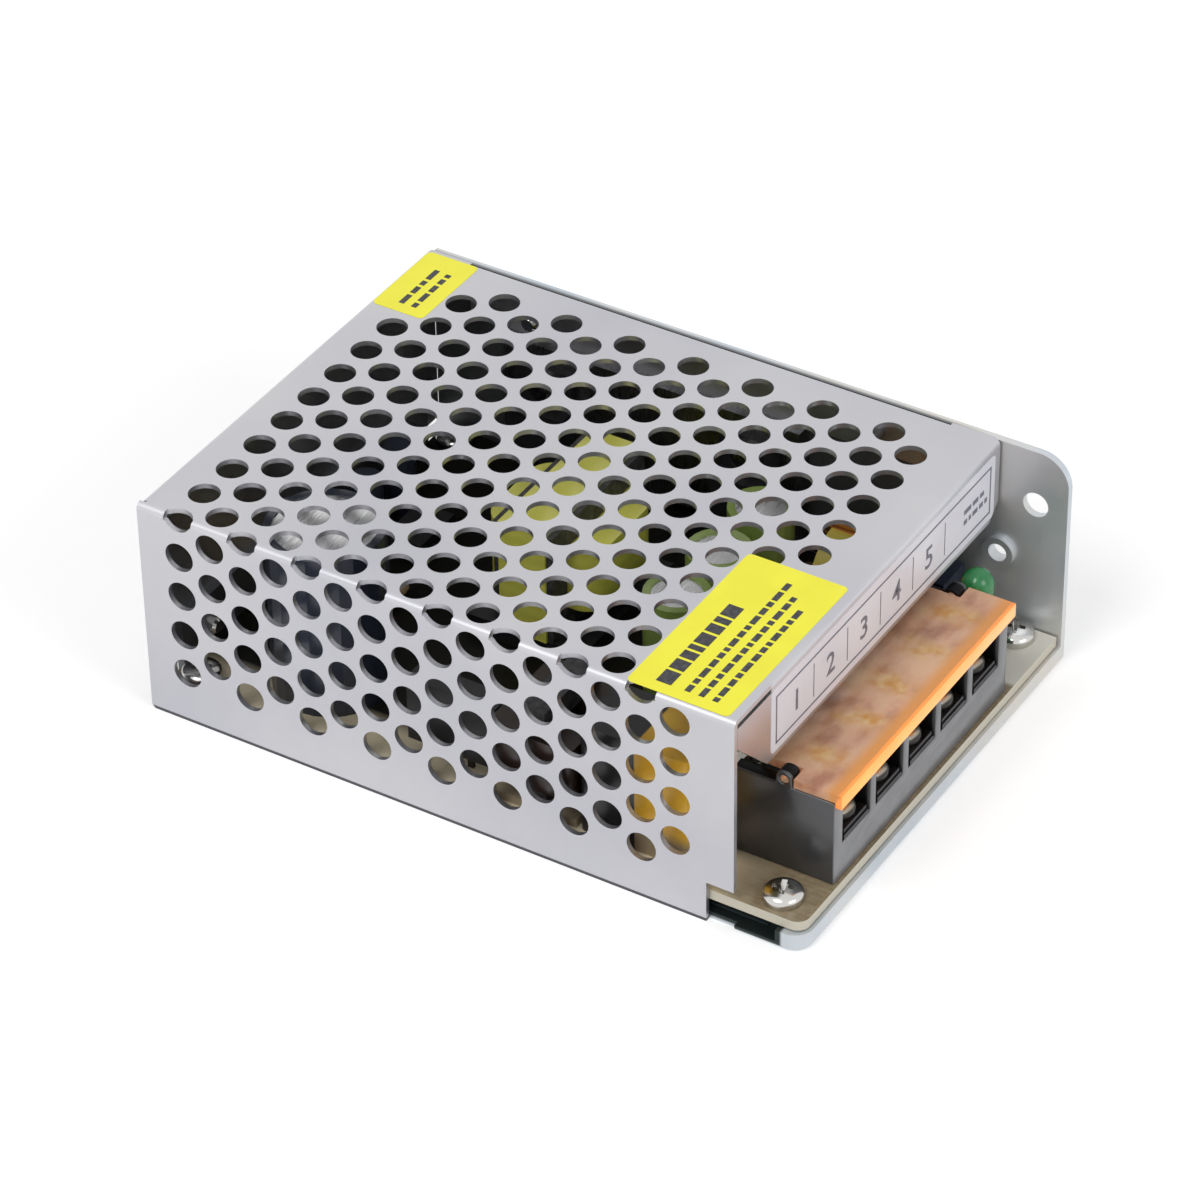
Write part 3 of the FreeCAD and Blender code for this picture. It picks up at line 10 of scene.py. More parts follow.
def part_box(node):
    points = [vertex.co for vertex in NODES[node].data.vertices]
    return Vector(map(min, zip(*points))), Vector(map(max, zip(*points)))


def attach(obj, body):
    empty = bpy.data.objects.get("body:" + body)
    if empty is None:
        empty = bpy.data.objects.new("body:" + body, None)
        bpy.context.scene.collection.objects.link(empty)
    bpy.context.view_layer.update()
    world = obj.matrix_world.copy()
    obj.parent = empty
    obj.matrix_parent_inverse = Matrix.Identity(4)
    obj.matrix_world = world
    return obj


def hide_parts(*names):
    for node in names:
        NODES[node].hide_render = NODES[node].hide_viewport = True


MM = 0.001
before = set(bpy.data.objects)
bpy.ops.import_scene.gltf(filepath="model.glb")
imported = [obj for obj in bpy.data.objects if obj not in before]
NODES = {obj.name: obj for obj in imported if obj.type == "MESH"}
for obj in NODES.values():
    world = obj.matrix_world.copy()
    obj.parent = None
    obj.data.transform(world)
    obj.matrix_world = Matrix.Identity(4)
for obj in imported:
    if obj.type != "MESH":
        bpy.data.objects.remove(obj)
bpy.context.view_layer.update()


class Finish:
    """One material: its shader, and the nodes that vary it over the surface in object space."""

    def __init__(self, name, colour, roughness, metallic=0.0, **sockets):
        self.material = bpy.data.materials.new(name)
        self.material.use_nodes = True
        self.tree = self.material.node_tree
        self.shader = self.tree.nodes["Principled BSDF"]
        self.shader.inputs["Base Color"].default_value = (*colour, 1)
        self.shader.inputs["Roughness"].default_value = roughness
        self.shader.inputs["Metallic"].default_value = metallic
        for socket, value in sockets.items():
            self.shader.inputs[socket.replace("_", " ")].default_value = value
        self.place = self.add("ShaderNodeTexCoord").outputs["Object"]

    def add(self, kind, **inputs):
        node = self.tree.nodes.new(kind)
        for socket, value in inputs.items():
            node.inputs[socket.replace("_", " ")].default_value = value
        return node

    def join(self, output, target):
        self.tree.links.new(output, target)

    def stretched(self, stretch):
        mapping = self.add("ShaderNodeMapping", Scale=stretch)
        self.join(self.place, mapping.inputs["Vector"])
        return mapping.outputs["Vector"]

    def noise(self, scale, detail=3.0, stretch=(1, 1, 1), roughness=0.5):
        node = self.add("ShaderNodeTexNoise", Scale=scale, Detail=detail, Roughness=roughness)
        self.join(self.stretched(stretch), node.inputs["Vector"])
        return node.outputs["Fac"]

    def cells(self, scale, stretch=(1, 1, 1)):
        node = self.add("ShaderNodeTexVoronoi", Scale=scale)
        self.join(self.stretched(stretch), node.inputs["Vector"])
        return node.outputs["Color"]

    def bands(self, scale, direction, distortion=0.0, phase=0.0):
        node = self.add("ShaderNodeTexWave", Scale=scale, Distortion=distortion, Phase_Offset=phase)
        node.bands_direction = direction
        self.join(self.place, node.inputs["Vector"])
        return node.outputs["Fac"]

    def ramp(self, value, stops):
        """Colour by value; each stop is (place, colour)."""
        node = self.add("ShaderNodeValToRGB")
        colours = node.color_ramp.elements
        while len(colours) < len(stops):
            colours.new(0.5)
        for element, (place, colour) in zip(colours, stops):
            element.position = place
            element.color = (*colour, 1)
        self.join(value, node.inputs["Fac"])
        return node.outputs["Color"]

    def span(self, value, low, high, start=0.3, end=0.7):
        """The value, stretched so that start becomes low and end becomes high."""
        node = self.add("ShaderNodeMapRange", From_Min=start, From_Max=end, To_Min=low, To_Max=high)
        self.join(value, node.inputs["Value"])
        return node.outputs["Result"]

    def mixed(self, amount, first, second):
        """The first colour where the amount is 0, and the second where it is 1."""
        node = self.tree.nodes.new("ShaderNodeMix")
        node.data_type = "RGBA"
        for socket, colour in (("A", first), ("B", second)):
            target = next(s for s in node.inputs if s.name == socket and s.type == "RGBA")
            if isinstance(colour, tuple):
                target.default_value = (*colour, 1)
            else:
                self.join(colour, target)
        self.join(amount, node.inputs["Factor"])
        return next(s for s in node.outputs if s.type == "RGBA")

    def along(self, axis, start, end):
        """A value that rises from 0 to 1 between two places along one axis, in millimetres."""
        split = self.add("ShaderNodeSeparateXYZ")
        self.join(self.place, split.inputs["Vector"])
        return self.span(split.outputs[axis], 0, 1, start * MM, end * MM)

    def facing(self, axis, start, end):
        """A value that rises from 0 to 1 as the surface turns to one axis."""
        split = self.add("ShaderNodeSeparateXYZ")
        self.join(self.add("ShaderNodeNewGeometry").outputs["Normal"], split.inputs["Vector"])
        return self.span(split.outputs[axis], 0, 1, start, end)

    def where(self, *values):
        """High only where every one of the values is."""
        total, *others = values
        for value in others:
            node = self.tree.nodes.new("ShaderNodeMath")
            node.operation = "MULTIPLY"
            self.join(total, node.inputs[0])
            self.join(value, node.inputs[1])
            total = node.outputs[0]
        return total

    def coloured(self, output):
        self.join(output, self.shader.inputs["Base Color"])

    def roughened(self, output):
        self.join(output, self.shader.inputs["Roughness"])

    def bumped(self, height, strength, distance=0.0001):
        """Small relief on the surface, added to what is there already."""
        node = self.add("ShaderNodeBump", Strength=strength, Distance=distance)
        self.join(height, node.inputs["Height"])
        previous = self.shader.inputs["Normal"]
        if previous.links:
            self.join(previous.links[0].from_socket, node.inputs["Normal"])
        self.join(node.outputs["Normal"], previous)


def satin_cover():
    """The cover's satin metal, with a painted shadow line along the bottom edge of its wall."""
    finish = Finish("satin_cover", (0.55, 0.55, 0.58), 0.42, 1.0)
    cloud = finish.noise(28, 4)
    sheet = finish.ramp(cloud, [(0.3, (0.51, 0.51, 0.55)), (0.7, (0.59, 0.59, 0.61))])
    # Painted shadow: a dark band along the bottom edge of the wall, below 0.6 mm.
    painted_shadow_line = finish.along("Z", 0.6, 0.45)
    finish.coloured(finish.mixed(painted_shadow_line, sheet, (0.10, 0.10, 0.11)))
    finish.roughened(finish.span(finish.noise(120, 5), 0.36, 0.50))
    finish.bumped(finish.noise(4200, 2), 0.10, 0.00003)
    finish.bumped(finish.noise(60, 2), 0.12, 0.0002)
    return finish.material


def zinc_plate():
    """Zinc plate with a faint spangle, and painted shade that darkens it inside the case and in the recess at
    its front left corner.
    """
    finish = Finish("zinc_plate", (0.62, 0.64, 0.66), 0.26, 0.68)
    spangle = finish.cells(160)
    tone = finish.ramp(finish.noise(45, 5), [
        (0.30, (0.52, 0.59, 0.65)), (0.5, (0.67, 0.69, 0.71)), (0.70, (0.73, 0.69, 0.62)),
    ])
    plate = finish.mixed(finish.span(spangle, 0.0, 0.25, 0.0, 1.0), tone, (0.50, 0.56, 0.61))
    # Painted shade: the plate inside the case is darkened.
    inside = finish.where(
        finish.along("Y", -42, -36), finish.along("X", 38.6, 38), finish.along("Z", 0.6, 1.1)
    )
    plate = finish.mixed(inside, plate, (0.16, 0.165, 0.17))
    # Painted shade: the recess at the front left corner is darkened to near black.
    recess = finish.where(
        finish.along("X", -34, -35), finish.along("Y", -51.6, -51.2), finish.along("Y", -30, -35),
        finish.along("Z", 0.3, 0.7),
    )
    finish.coloured(finish.mixed(recess, plate, (0.025, 0.035, 0.035)))
    finish.roughened(finish.span(finish.noise(90, 4), 0.36, 0.52))
    finish.bumped(finish.noise(3000, 2), 0.08, 0.00003)
    return finish.material


def bright_nickel():
    finish = Finish("bright_nickel", (0.62, 0.61, 0.59), 0.18, 1.0)
    finish.roughened(finish.span(finish.noise(700, 3), 0.12, 0.24))
    finish.bumped(finish.noise(2600, 2), 0.06, 0.00003)
    return finish.material


def shaded_steel():
    """The plated steel of the terminal screws, with painted light and shade: bright on top, and painted dark
    on their sides, which face the black bays.
    """
    finish = Finish("shaded_steel", (0.50, 0.46, 0.38), 0.32, 1.0)
    # Painted light and shade: faces turned up take the bright steel colour, the sides near black.
    finish.coloured(finish.mixed(finish.facing("Z", 0.62, 0.92), (0.050, 0.048, 0.044), (0.52, 0.48, 0.40)))
    finish.roughened(finish.span(finish.noise(700, 3), 0.26, 0.44))
    return finish.material


def dark_steel():
    # Painted shade: steel darkened to near black for the clamp washers and terminal plates, in the shade of
    # the bays.
    finish = Finish("dark_steel", (0.055, 0.055, 0.06), 0.40, 1.0)
    finish.roughened(finish.span(finish.noise(500, 3), 0.32, 0.50))
    return finish.material


def tinned_brass():
    finish = Finish("tinned_brass", (0.70, 0.68, 0.60), 0.28, 1.0)
    finish.roughened(finish.span(finish.noise(500, 4), 0.20, 0.38))
    tin = finish.ramp(finish.noise(350, 3), [(0.35, (0.66, 0.64, 0.56)), (0.7, (0.74, 0.72, 0.66))])
    finish.coloured(tin)
    return finish.material


def moulded(name, colour, roughness=0.42, grain=1800):
    """A moulded plastic: fine grain, and a little dust and handling on it."""
    finish = Finish(name, colour, roughness)
    light = tuple(min(1.0, part * 1.25 + 0.006) for part in colour)
    finish.coloured(finish.ramp(finish.noise(160, 4), [(0.35, colour), (0.75, light)]))
    finish.roughened(finish.span(finish.noise(240, 3), roughness - 0.03, roughness + 0.05))
    finish.bumped(finish.noise(grain, 2), 0.06, 0.00003)
    return finish.material


def block_black():
    """The terminal block's black moulding, with a painted glare that greys its front face and painted shade
    that blackens its bays.
    """
    finish = Finish("block_black", (0.030, 0.031, 0.036), 0.30, Specular_IOR_Level=0.9)
    body = finish.ramp(finish.noise(160, 4), [(0.35, (0.026, 0.027, 0.031)), (0.75, (0.036, 0.037, 0.042))])
    # Painted light: the front face is greyed with glare.
    front = finish.where(finish.facing("Y", -0.3, -0.9), finish.along("Y", -53.2, -53.5))
    painted_glare = finish.ramp(finish.noise(380, 4), [(0.35, (0.145, 0.150, 0.162)), (0.75, (0.190, 0.196, 0.210))])
    # Painted shade: the bays are near black and reflect less.
    bays = finish.where(
        finish.along("X", -28.05, -27.9), finish.along("X", 22, 21.8), finish.along("Y", -53.4, -53),
        finish.along("Z", 6.2, 6.8),
    )
    finish.coloured(finish.mixed(bays, finish.mixed(front, body, painted_glare), (0.004, 0.004, 0.005)))
    finish.join(finish.span(bays, 0.9, 0.12, 0, 1), finish.shader.inputs["Specular IOR Level"])
    finish.roughened(finish.span(finish.noise(240, 3), 0.28, 0.34))
    finish.bumped(finish.noise(900, 2), 0.05, 0.00003)
    return finish.material


# A wave texture's scale and phase whose crests lie over the terminal screws, 9.5 mm apart, for the lid's
# painted glints
SCREW_BANDS = 33.07
SCREW_PHASE = -1.157


def amber_clear():
    """The clouded amber plate of the lid, with painted light: painted gold glints over the screws beneath it,
    and a painted orange glow toward its front lip.
    """
    finish = Finish("amber_clear", (0.86, 0.50, 0.30), 0.14, Transmission_Weight=0.50, IOR=1.46)
    cloud = finish.ramp(finish.noise(230, 5, (0.6, 1, 1)), [
        (0.34, (0.62, 0.33, 0.21)), (0.50, (0.92, 0.58, 0.38)), (0.64, (1.0, 0.70, 0.46)),
    ])
    # Painted highlight: gold glints where the screws lie under the lid.
    screw_glint_mask = finish.where(
        finish.span(finish.bands(SCREW_BANDS, "X", 1.2, SCREW_PHASE), 0, 1, 0.30, 0.95),
        finish.along("Y", -53.5, -50.8), finish.along("Y", -42.5, -47.5),
        finish.span(finish.noise(240, 3), 0.15, 1.0, 0.36, 0.56),
    )
    gold = finish.ramp(finish.noise(420, 3), [(0.40, (0.86, 0.46, 0.13)), (0.62, (1.0, 0.74, 0.36))])
    plate = finish.mixed(screw_glint_mask, cloud, gold)
    # Painted glow: orange growing toward the front lip.
    painted_glow_toward_lip = finish.along("Y", -51.8, -53.4)
    finish.coloured(finish.mixed(painted_glow_toward_lip, plate, (1.0, 0.50, 0.13)))
    finish.roughened(finish.span(finish.noise(130, 2), 0.08, 0.24))
    finish.bumped(finish.noise(60, 2), 0.10, 0.0002)
    return finish.material


def amber_edge():
    """The lid's thick front lip, with a painted glow: its emission stands in for the light that the clear
    plastic gathers there.
    """
    finish = Finish("amber_edge", (1.0, 0.46, 0.09), 0.16, Transmission_Weight=0.20, IOR=1.46)
    # Painted glow: the lip emits light, though it is no lamp.
    finish.shader.inputs["Emission Color"].default_value = (1.0, 0.42, 0.07, 1)
    finish.shader.inputs["Emission Strength"].default_value = 0.42
    finish.coloured(finish.ramp(finish.noise(160, 2), [(0.3, (0.96, 0.40, 0.07)), (0.7, (1.0, 0.52, 0.13))]))
    return finish.material


def half_wrapped_yellow():
    """A yellow film capacitor, tan at its foot, its rear part painted black as shade inside the case."""
    finish = Finish("yellow_shaded_rear", (0.80, 0.42, 0.02), 0.35)
    # Painted shade: the rear part, inside the case, is near black.
    rear_shade = finish.along("Y", -26.2, -26)
    dust = finish.ramp(finish.noise(160, 4), [(0.35, (0.86, 0.46, 0.03)), (0.75, (1.0, 0.62, 0.07))])
    lower = finish.mixed(finish.along("Z", 10.5, 8.5), dust, (0.40, 0.31, 0.20))
    finish.coloured(finish.mixed(rear_shade, lower, (0.02, 0.02, 0.022)))
    finish.bumped(finish.noise(900, 2), 0.10, 0.00004)
    return finish.material


def green_lens():
    finish = Finish(
        "green_lens", (0.02, 0.32, 0.10), 0.14, Transmission_Weight=0.35, IOR=1.5, Subsurface_Weight=0.3
    )
    lens = finish.ramp(finish.noise(500, 2), [(0.3, (0.015, 0.25, 0.075)), (0.7, (0.035, 0.37, 0.13))])
    finish.coloured(lens)
    return finish.material


def laminate():
    """The tan circuit board, pale at its cut edges; painted light makes it pale along the left wall and right
    of the terminal block, and painted shade makes it near black under its parts.
    """
    finish = Finish("laminate", (0.26, 0.20, 0.12), 0.35)
    weave = finish.bands(330, "X", 0.6)
    fleck = finish.ramp(finish.noise(900, 4), [(0.3, (0.20, 0.15, 0.085)), (0.7, (0.30, 0.24, 0.15))])
    face = finish.mixed(finish.span(weave, 0.0, 0.25, 0.0, 1.0), fleck, (0.34, 0.29, 0.20))
    upward = finish.facing("Z", 0.2, 0.6)
    behind = finish.along("Y", -46, -38)
    # Painted light: pale where the board is near the left wall inside the case.
    painted_light_margin = finish.mixed(behind, face, (0.80, 0.70, 0.50))
    # Painted light: pale right of the terminal block.
    lit_right_end = finish.where(finish.along("X", 23.5, 24.5), finish.along("Y", -42, -46))
    painted_light_margin = finish.mixed(lit_right_end, painted_light_margin, (0.70, 0.68, 0.60))
    # Painted shade: near black, and reflecting less, under the parts inside the case.
    painted_shade_under_parts = finish.where(finish.along("X", -31, -28), behind)
    top = finish.mixed(painted_shade_under_parts, painted_light_margin, (0.012, 0.011, 0.009))
    finish.coloured(finish.mixed(upward, (0.62, 0.58, 0.47), top))
    finish.join(finish.span(painted_shade_under_parts, 0.5, 0.1, 0, 1), finish.shader.inputs["Specular IOR Level"])
    finish.bumped(weave, 0.08, 0.00004)
    return finish.material


def paper(name, colour, shade):
    finish = Finish(name, colour, 0.38, Coat_Weight=0.25, Coat_Roughness=0.2)
    finish.coloured(finish.ramp(finish.noise(150, 5), [(0.3, shade), (0.7, colour)]))
    finish.bumped(finish.noise(900, 3), 0.05, 0.00004)
    return finish.material


def printed(name, colour):
    """Ink on a label, a little uneven."""
    finish = Finish(name, colour, 0.5)
    light = tuple(part + 0.06 for part in colour)
    finish.coloured(finish.ramp(finish.noise(1400, 3), [(0.4, colour), (0.8, light)]))
    return finish.material


def sleeve(name, colour, light):
    """Shrunk plastic sleeve: glossy, with faint ripples round the can."""
    finish = Finish(name, colour, 0.28, Coat_Weight=0.3, Coat_Roughness=0.12)
    finish.coloured(finish.ramp(finish.noise(120, 3, (1, 1, 0.2)), [(0.35, colour), (0.7, light)]))
    finish.bumped(finish.noise(300, 3, (1, 1, 0.25)), 0.15, 0.00008)
    return finish.material


def bare_aluminium(name="bare_aluminium", tone=0.72):
    finish = Finish(name, (tone, tone, tone + 0.01), 0.30, 1.0)
    finish.roughened(finish.span(finish.noise(260, 5, (1, 14, 1)), 0.22, 0.42))
    finish.coloured(finish.ramp(finish.noise(200, 4), [(0.3, (tone - 0.06,) * 3), (0.7, (tone + 0.04,) * 3)]))
    return finish.material


def tape():
    """Yellow film tape in overlapping layers."""
    finish = Finish("yellow_tape", (0.80, 0.74, 0.05), 0.30, Coat_Weight=0.4, Coat_Roughness=0.1)
    layer = finish.bands(120, "Z", 0.3)
    finish.coloured(finish.mixed(finish.span(layer, 0, 0.4, 0, 1), (0.95, 0.93, 0.16), (0.78, 0.76, 0.10)))
    finish.bumped(finish.noise(260, 3), 0.2, 0.0001)
    return finish.material


def copper():
    finish = Finish("copper_wire", (0.72, 0.30, 0.12), 0.26, 0.9, Coat_Weight=0.5, Coat_Roughness=0.1)
    turns = finish.bands(260, "Z", 0.15)
    finish.coloured(finish.ramp(turns, [(0.0, (0.30, 0.10, 0.04)), (0.45, (0.74, 0.32, 0.12))]))
    finish.bumped(turns, 0.6, 0.0003)
    return finish.material


def ferrite():
    finish = Finish("ferrite", (0.05, 0.05, 0.055), 0.55)
    grain = finish.ramp(finish.noise(900, 5), [(0.4, (0.035, 0.035, 0.04)), (0.75, (0.10, 0.10, 0.10))])
    finish.coloured(grain)
    finish.bumped(finish.noise(1300, 4), 0.3, 0.00006)
    return finish.material


def clear_glass():
    finish = Finish("fuse_glass", (0.92, 0.95, 0.95), 0.05, Transmission_Weight=0.9, IOR=1.5)
    finish.roughened(finish.span(finish.noise(300, 2), 0.03, 0.08))
    return finish.material


COVER = satin_cover()
ZINC = zinc_plate()
NICKEL = bright_nickel()
TINNED = tinned_brass()
SHADED_STEEL = shaded_steel()
SHADE_DARKENED_STEEL = dark_steel()
BLACK = moulded("black_moulding", (0.016, 0.016, 0.018), 0.40)
BLOCK_BLACK = block_black()
NAVY = moulded("blue_moulding", (0.006, 0.011, 0.028), 0.35)
WHITE = moulded("white_moulding", (0.75, 0.75, 0.70), 0.45)
YELLOW_BOX = half_wrapped_yellow()
TAN_BASE = moulded("tan_base", (0.44, 0.36, 0.25), 0.40)
RESISTOR_TAN = moulded("tan_lacquer", (0.62, 0.46, 0.26), 0.35)
DISC_BLUE = moulded("blue_disc", (0.012, 0.03, 0.07), 0.30)
DISC_DARK = moulded("dark_disc", (0.03, 0.06, 0.04), 0.35)
FILM = moulded("black_film", (0.030, 0.045, 0.048), 0.30)
AMBER = amber_clear()
AMBER_EDGE = amber_edge()
GREEN_LENS = green_lens()
LAMINATE = laminate()
WHITE_PAPER = paper("white_paper", (0.80, 0.80, 0.86), (0.74, 0.74, 0.81))
YELLOW_PAPER = paper("yellow_paper", (0.98, 0.93, 0.03), (0.92, 0.86, 0.025))
INK = printed("black_ink", (0.02, 0.02, 0.025))
GREY_INK = printed("grey_ink", (0.16, 0.16, 0.20))
GREEN_SLEEVE = sleeve("green_sleeve", (0.25, 0.36, 0.07), (0.36, 0.48, 0.13))
DARK_SLEEVE = sleeve("dark_sleeve", (0.02, 0.025, 0.04), (0.04, 0.05, 0.08))
CAN = bare_aluminium()
BAR = bare_aluminium("bar_aluminium", 0.30)
TAPE = tape()
COPPER = copper()
DARK_COPPER = moulded("dark_copper", (0.022, 0.012, 0.009), 0.34, 700)
FERRITE = ferrite()
YELLOW_RING = moulded("yellow_ring", (0.62, 0.52, 0.08), 0.35)
FUSE_GLASS = clear_glass()

CARRIED_FINISHES = {
    "chassis": ZINC, "cover_screws": NICKEL, "board_standoffs": ZINC, "circuit_board": LAMINATE,
    "insulating_sheet": FILM, "terminal_plates": SHADE_DARKENED_STEEL, "led_leads": TINNED, "trimmer_body": NAVY,
    "trimmer_rotor": WHITE, "filter_capacitor": YELLOW_BOX, "line_choke_core": FERRITE,
    "line_choke_windings": DARK_COPPER, "line_choke_base": TAN_BASE, "bridge_rectifier": BLACK,
    "bulk_capacitor": DARK_SLEEVE, "output_capacitors": GREEN_SLEEVE, "capacitor_tops": CAN,
    "small_capacitors": DARK_SLEEVE, "transformer_core": FERRITE, "transformer_winding": TAPE,
    "transformer_tape": TAPE, "transformer_base": BLACK, "heat_bar": BAR, "output_diode": BLACK,
    "switching_transistor": BLACK, "clamp_screws": NICKEL, "output_choke_core": YELLOW_RING,
    "output_choke_winding": COPPER, "fuse_tube": FUSE_GLASS, "fuse_caps": TINNED, "fuse_clips": TINNED,
    "thermistor": DISC_DARK, "safety_capacitors": DISC_BLUE, "control_chip": BLACK, "optocoupler": BLACK,
    "resistors": RESISTOR_TAN, "strip_label": WHITE_PAPER, "top_label": YELLOW_PAPER,
    "corner_label": YELLOW_PAPER, "mesh_cover": COVER, "board_screws": NICKEL,
    "terminal_housing": BLOCK_BLACK,
    "terminal_lid": AMBER, "led": GREEN_LENS,
}
TERMINALS = range(1, 6)
for number in TERMINALS:
    CARRIED_FINISHES[f"clamp_washer_{number}"] = SHADE_DARKENED_STEEL
    CARRIED_FINISHES[f"terminal_screw_{number}"] = NICKEL


def dress_carried_nodes():
    for node, material in CARRIED_FINISHES.items():
        mesh = NODES[node].data
        mesh.materials.clear()
        mesh.materials.append(material)


def new_piece(name, mesh, material, body="case", replaces=()):
    """Hangs a finished mesh on a body and hides the parts that it stands for."""
    obj = bpy.data.objects.new(name, mesh)
    bpy.context.scene.collection.objects.link(obj)
    if material:
        mesh.materials.clear()
        mesh.materials.append(material)
    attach(obj, body)
    if replaces:
        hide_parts(*replaces)
    return obj


def smooth_with_creases(mesh, degrees=32):
    mesh.shade_smooth()
    mesh.set_sharp_from_angle(angle=math.radians(degrees))


def settle(obj):
    """The plain mesh that an object's modifiers make; the object itself goes."""
    graph = bpy.context.evaluated_depsgraph_get()
    mesh = bpy.data.meshes.new_from_object(obj.evaluated_get(graph))
    obj.modifiers.clear()
    bpy.data.objects.remove(obj)
    return mesh


def working_object(name, mesh):
    obj = bpy.data.objects.new(name, mesh)
    bpy.context.scene.collection.objects.link(obj)
    return obj


class NodeTree:
    """A geometry node tree with named inputs for its sizes."""

    def __init__(self, name, **sizes):
        self.tree = bpy.data.node_groups.new(name, "GeometryNodeTree")
        self.tree.interface.new_socket("Geometry", in_out="INPUT", socket_type="NodeSocketGeometry")
        self.names = {}
        for size, value in sizes.items():
            kind = {int: "NodeSocketInt", float: "NodeSocketFloat", tuple: "NodeSocketVector"}[type(value)]
            socket = self.tree.interface.new_socket(size.replace("_", " "), in_out="INPUT", socket_type=kind)
            socket.default_value = value
            self.names[size] = socket.identifier
        self.tree.interface.new_socket("Geometry", in_out="OUTPUT", socket_type="NodeSocketGeometry")
        self.sizes = self.tree.nodes.new("NodeGroupInput")
        self.result = self.tree.nodes.new("NodeGroupOutput")

    def size(self, name):
        return self.sizes.outputs[name.replace("_", " ")]

    @property
    def geometry(self):
        return self.sizes.outputs["Geometry"]

    def add(self, kind, settings=None, **inputs):
        node = self.tree.nodes.new(kind)
        for name, value in (settings or {}).items():
            setattr(node, name, value)
        for socket, value in inputs.items():
            target = node.inputs[socket.replace("_", " ")]
            if isinstance(value, bpy.types.NodeSocket):
                self.tree.links.new(value, target)
            else:
                target.default_value = value
        return node

    def join(self, output, target):
        self.tree.links.new(output, target)

    def math(self, operation, first, second):
        node = self.add("ShaderNodeMath", {"operation": operation})
        for socket, value in zip(node.inputs, (first, second)):
            if isinstance(value, bpy.types.NodeSocket):
                self.join(value, socket)
            else:
                socket.default_value = value
        return node.outputs[0]

    def finish(self, output, material):
        """Ends in real geometry with its material."""
        realised = self.add("GeometryNodeRealizeInstances", Geometry=output)
        painted = self.add("GeometryNodeSetMaterial", Geometry=realised.outputs["Geometry"])
        painted.inputs["Material"].default_value = material
        self.join(painted.outputs["Geometry"], self.result.inputs["Geometry"])

    def applied(self, name, mesh, **sizes):
        """The plain mesh that the tree makes from a mesh, with any sizes changed by their identifiers."""
        obj = working_object(name, mesh)
        modifier = obj.modifiers.new(name, "NODES")
        modifier.node_group = self.tree
        for size, value in sizes.items():
            modifier[self.names[size]] = value
        return settle(obj)


# The flat screws that hold the cover, in millimetres
FLAT_HEAD_RADIUS = 2.7
SUNK_DEPTH = 1.2
FLAP_SCREW_X = (-28.0, 28.0)
FLAP_SCREW_Z = 9.5
REAR_WALL_SCREW_Y = 35.0

# The cover is made in three steps: its outer skin, the sheet's thickness, and the punched holes
SHEET = 0.8
FOLD = 1.0
FOLD_STEPS = 6
PUNCH_DEPTH = 2.4
HOLES_FROM_BACK = 7
# The front strip, which a slit parts from the top over its first stretch
SLIT_WIDTH = 10
SLIT_DEPTH = 1.6
STRIP_HEIGHT = 13.3
STRIP_END = 0.3
STRIP_SLANT = 8.2
STRIP_CORNER = 2.6
# The left wall with its notched front corner, and the gap between it and what is folded beside it
WALL_GAP = 0.05
WALL_CORNER = 0.6
NOTCH_LENGTH = 4.4
NOTCH_HEIGHT = 7
# The back flap, and the flange that stands inside the right wall
FLAP_GAP = 0.5
FLAP_CORNER = 1
FLAP_LOW = 6
FLANGE_INSET = 8
FLANGE_HEIGHT = 9
COVER_LOW, COVER_HIGH = (Vector(corner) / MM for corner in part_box("mesh_cover"))
COVER_FRONT, COVER_BACK = COVER_LOW.y, COVER_HIGH.y
COVER_LEFT, COVER_RIGHT, COVER_TOP = COVER_LOW.x, COVER_HIGH.x, COVER_HIGH.z


def fold_points(station, outward):
    """Points of a quarter bend from the top sheet's edge down to a wall, at one place along the fold."""
    centre = Vector((*station, COVER_TOP - FOLD))
    points = []
    for step in range(FOLD_STEPS + 1):
        turn = math.pi / 2 * step / FOLD_STEPS
        points.append(centre + outward * FOLD * math.sin(turn) + Vector((0, 0, FOLD * math.cos(turn))))
    return points


def add_polygon(skin, corners):
    skin.faces.new([skin.verts.new(Vector(corner) * MM) for corner in corners])


def add_fold(skin, stations, outward):
    """A bend that follows the stations along the edge of the top sheet."""
    rows = [fold_points(station, Vector(outward)) for station in stations]
    for near, far in zip(rows, rows[1:]):
        for step in range(FOLD_STEPS):
            add_polygon(skin, [near[step], near[step + 1], far[step + 1], far[step]])


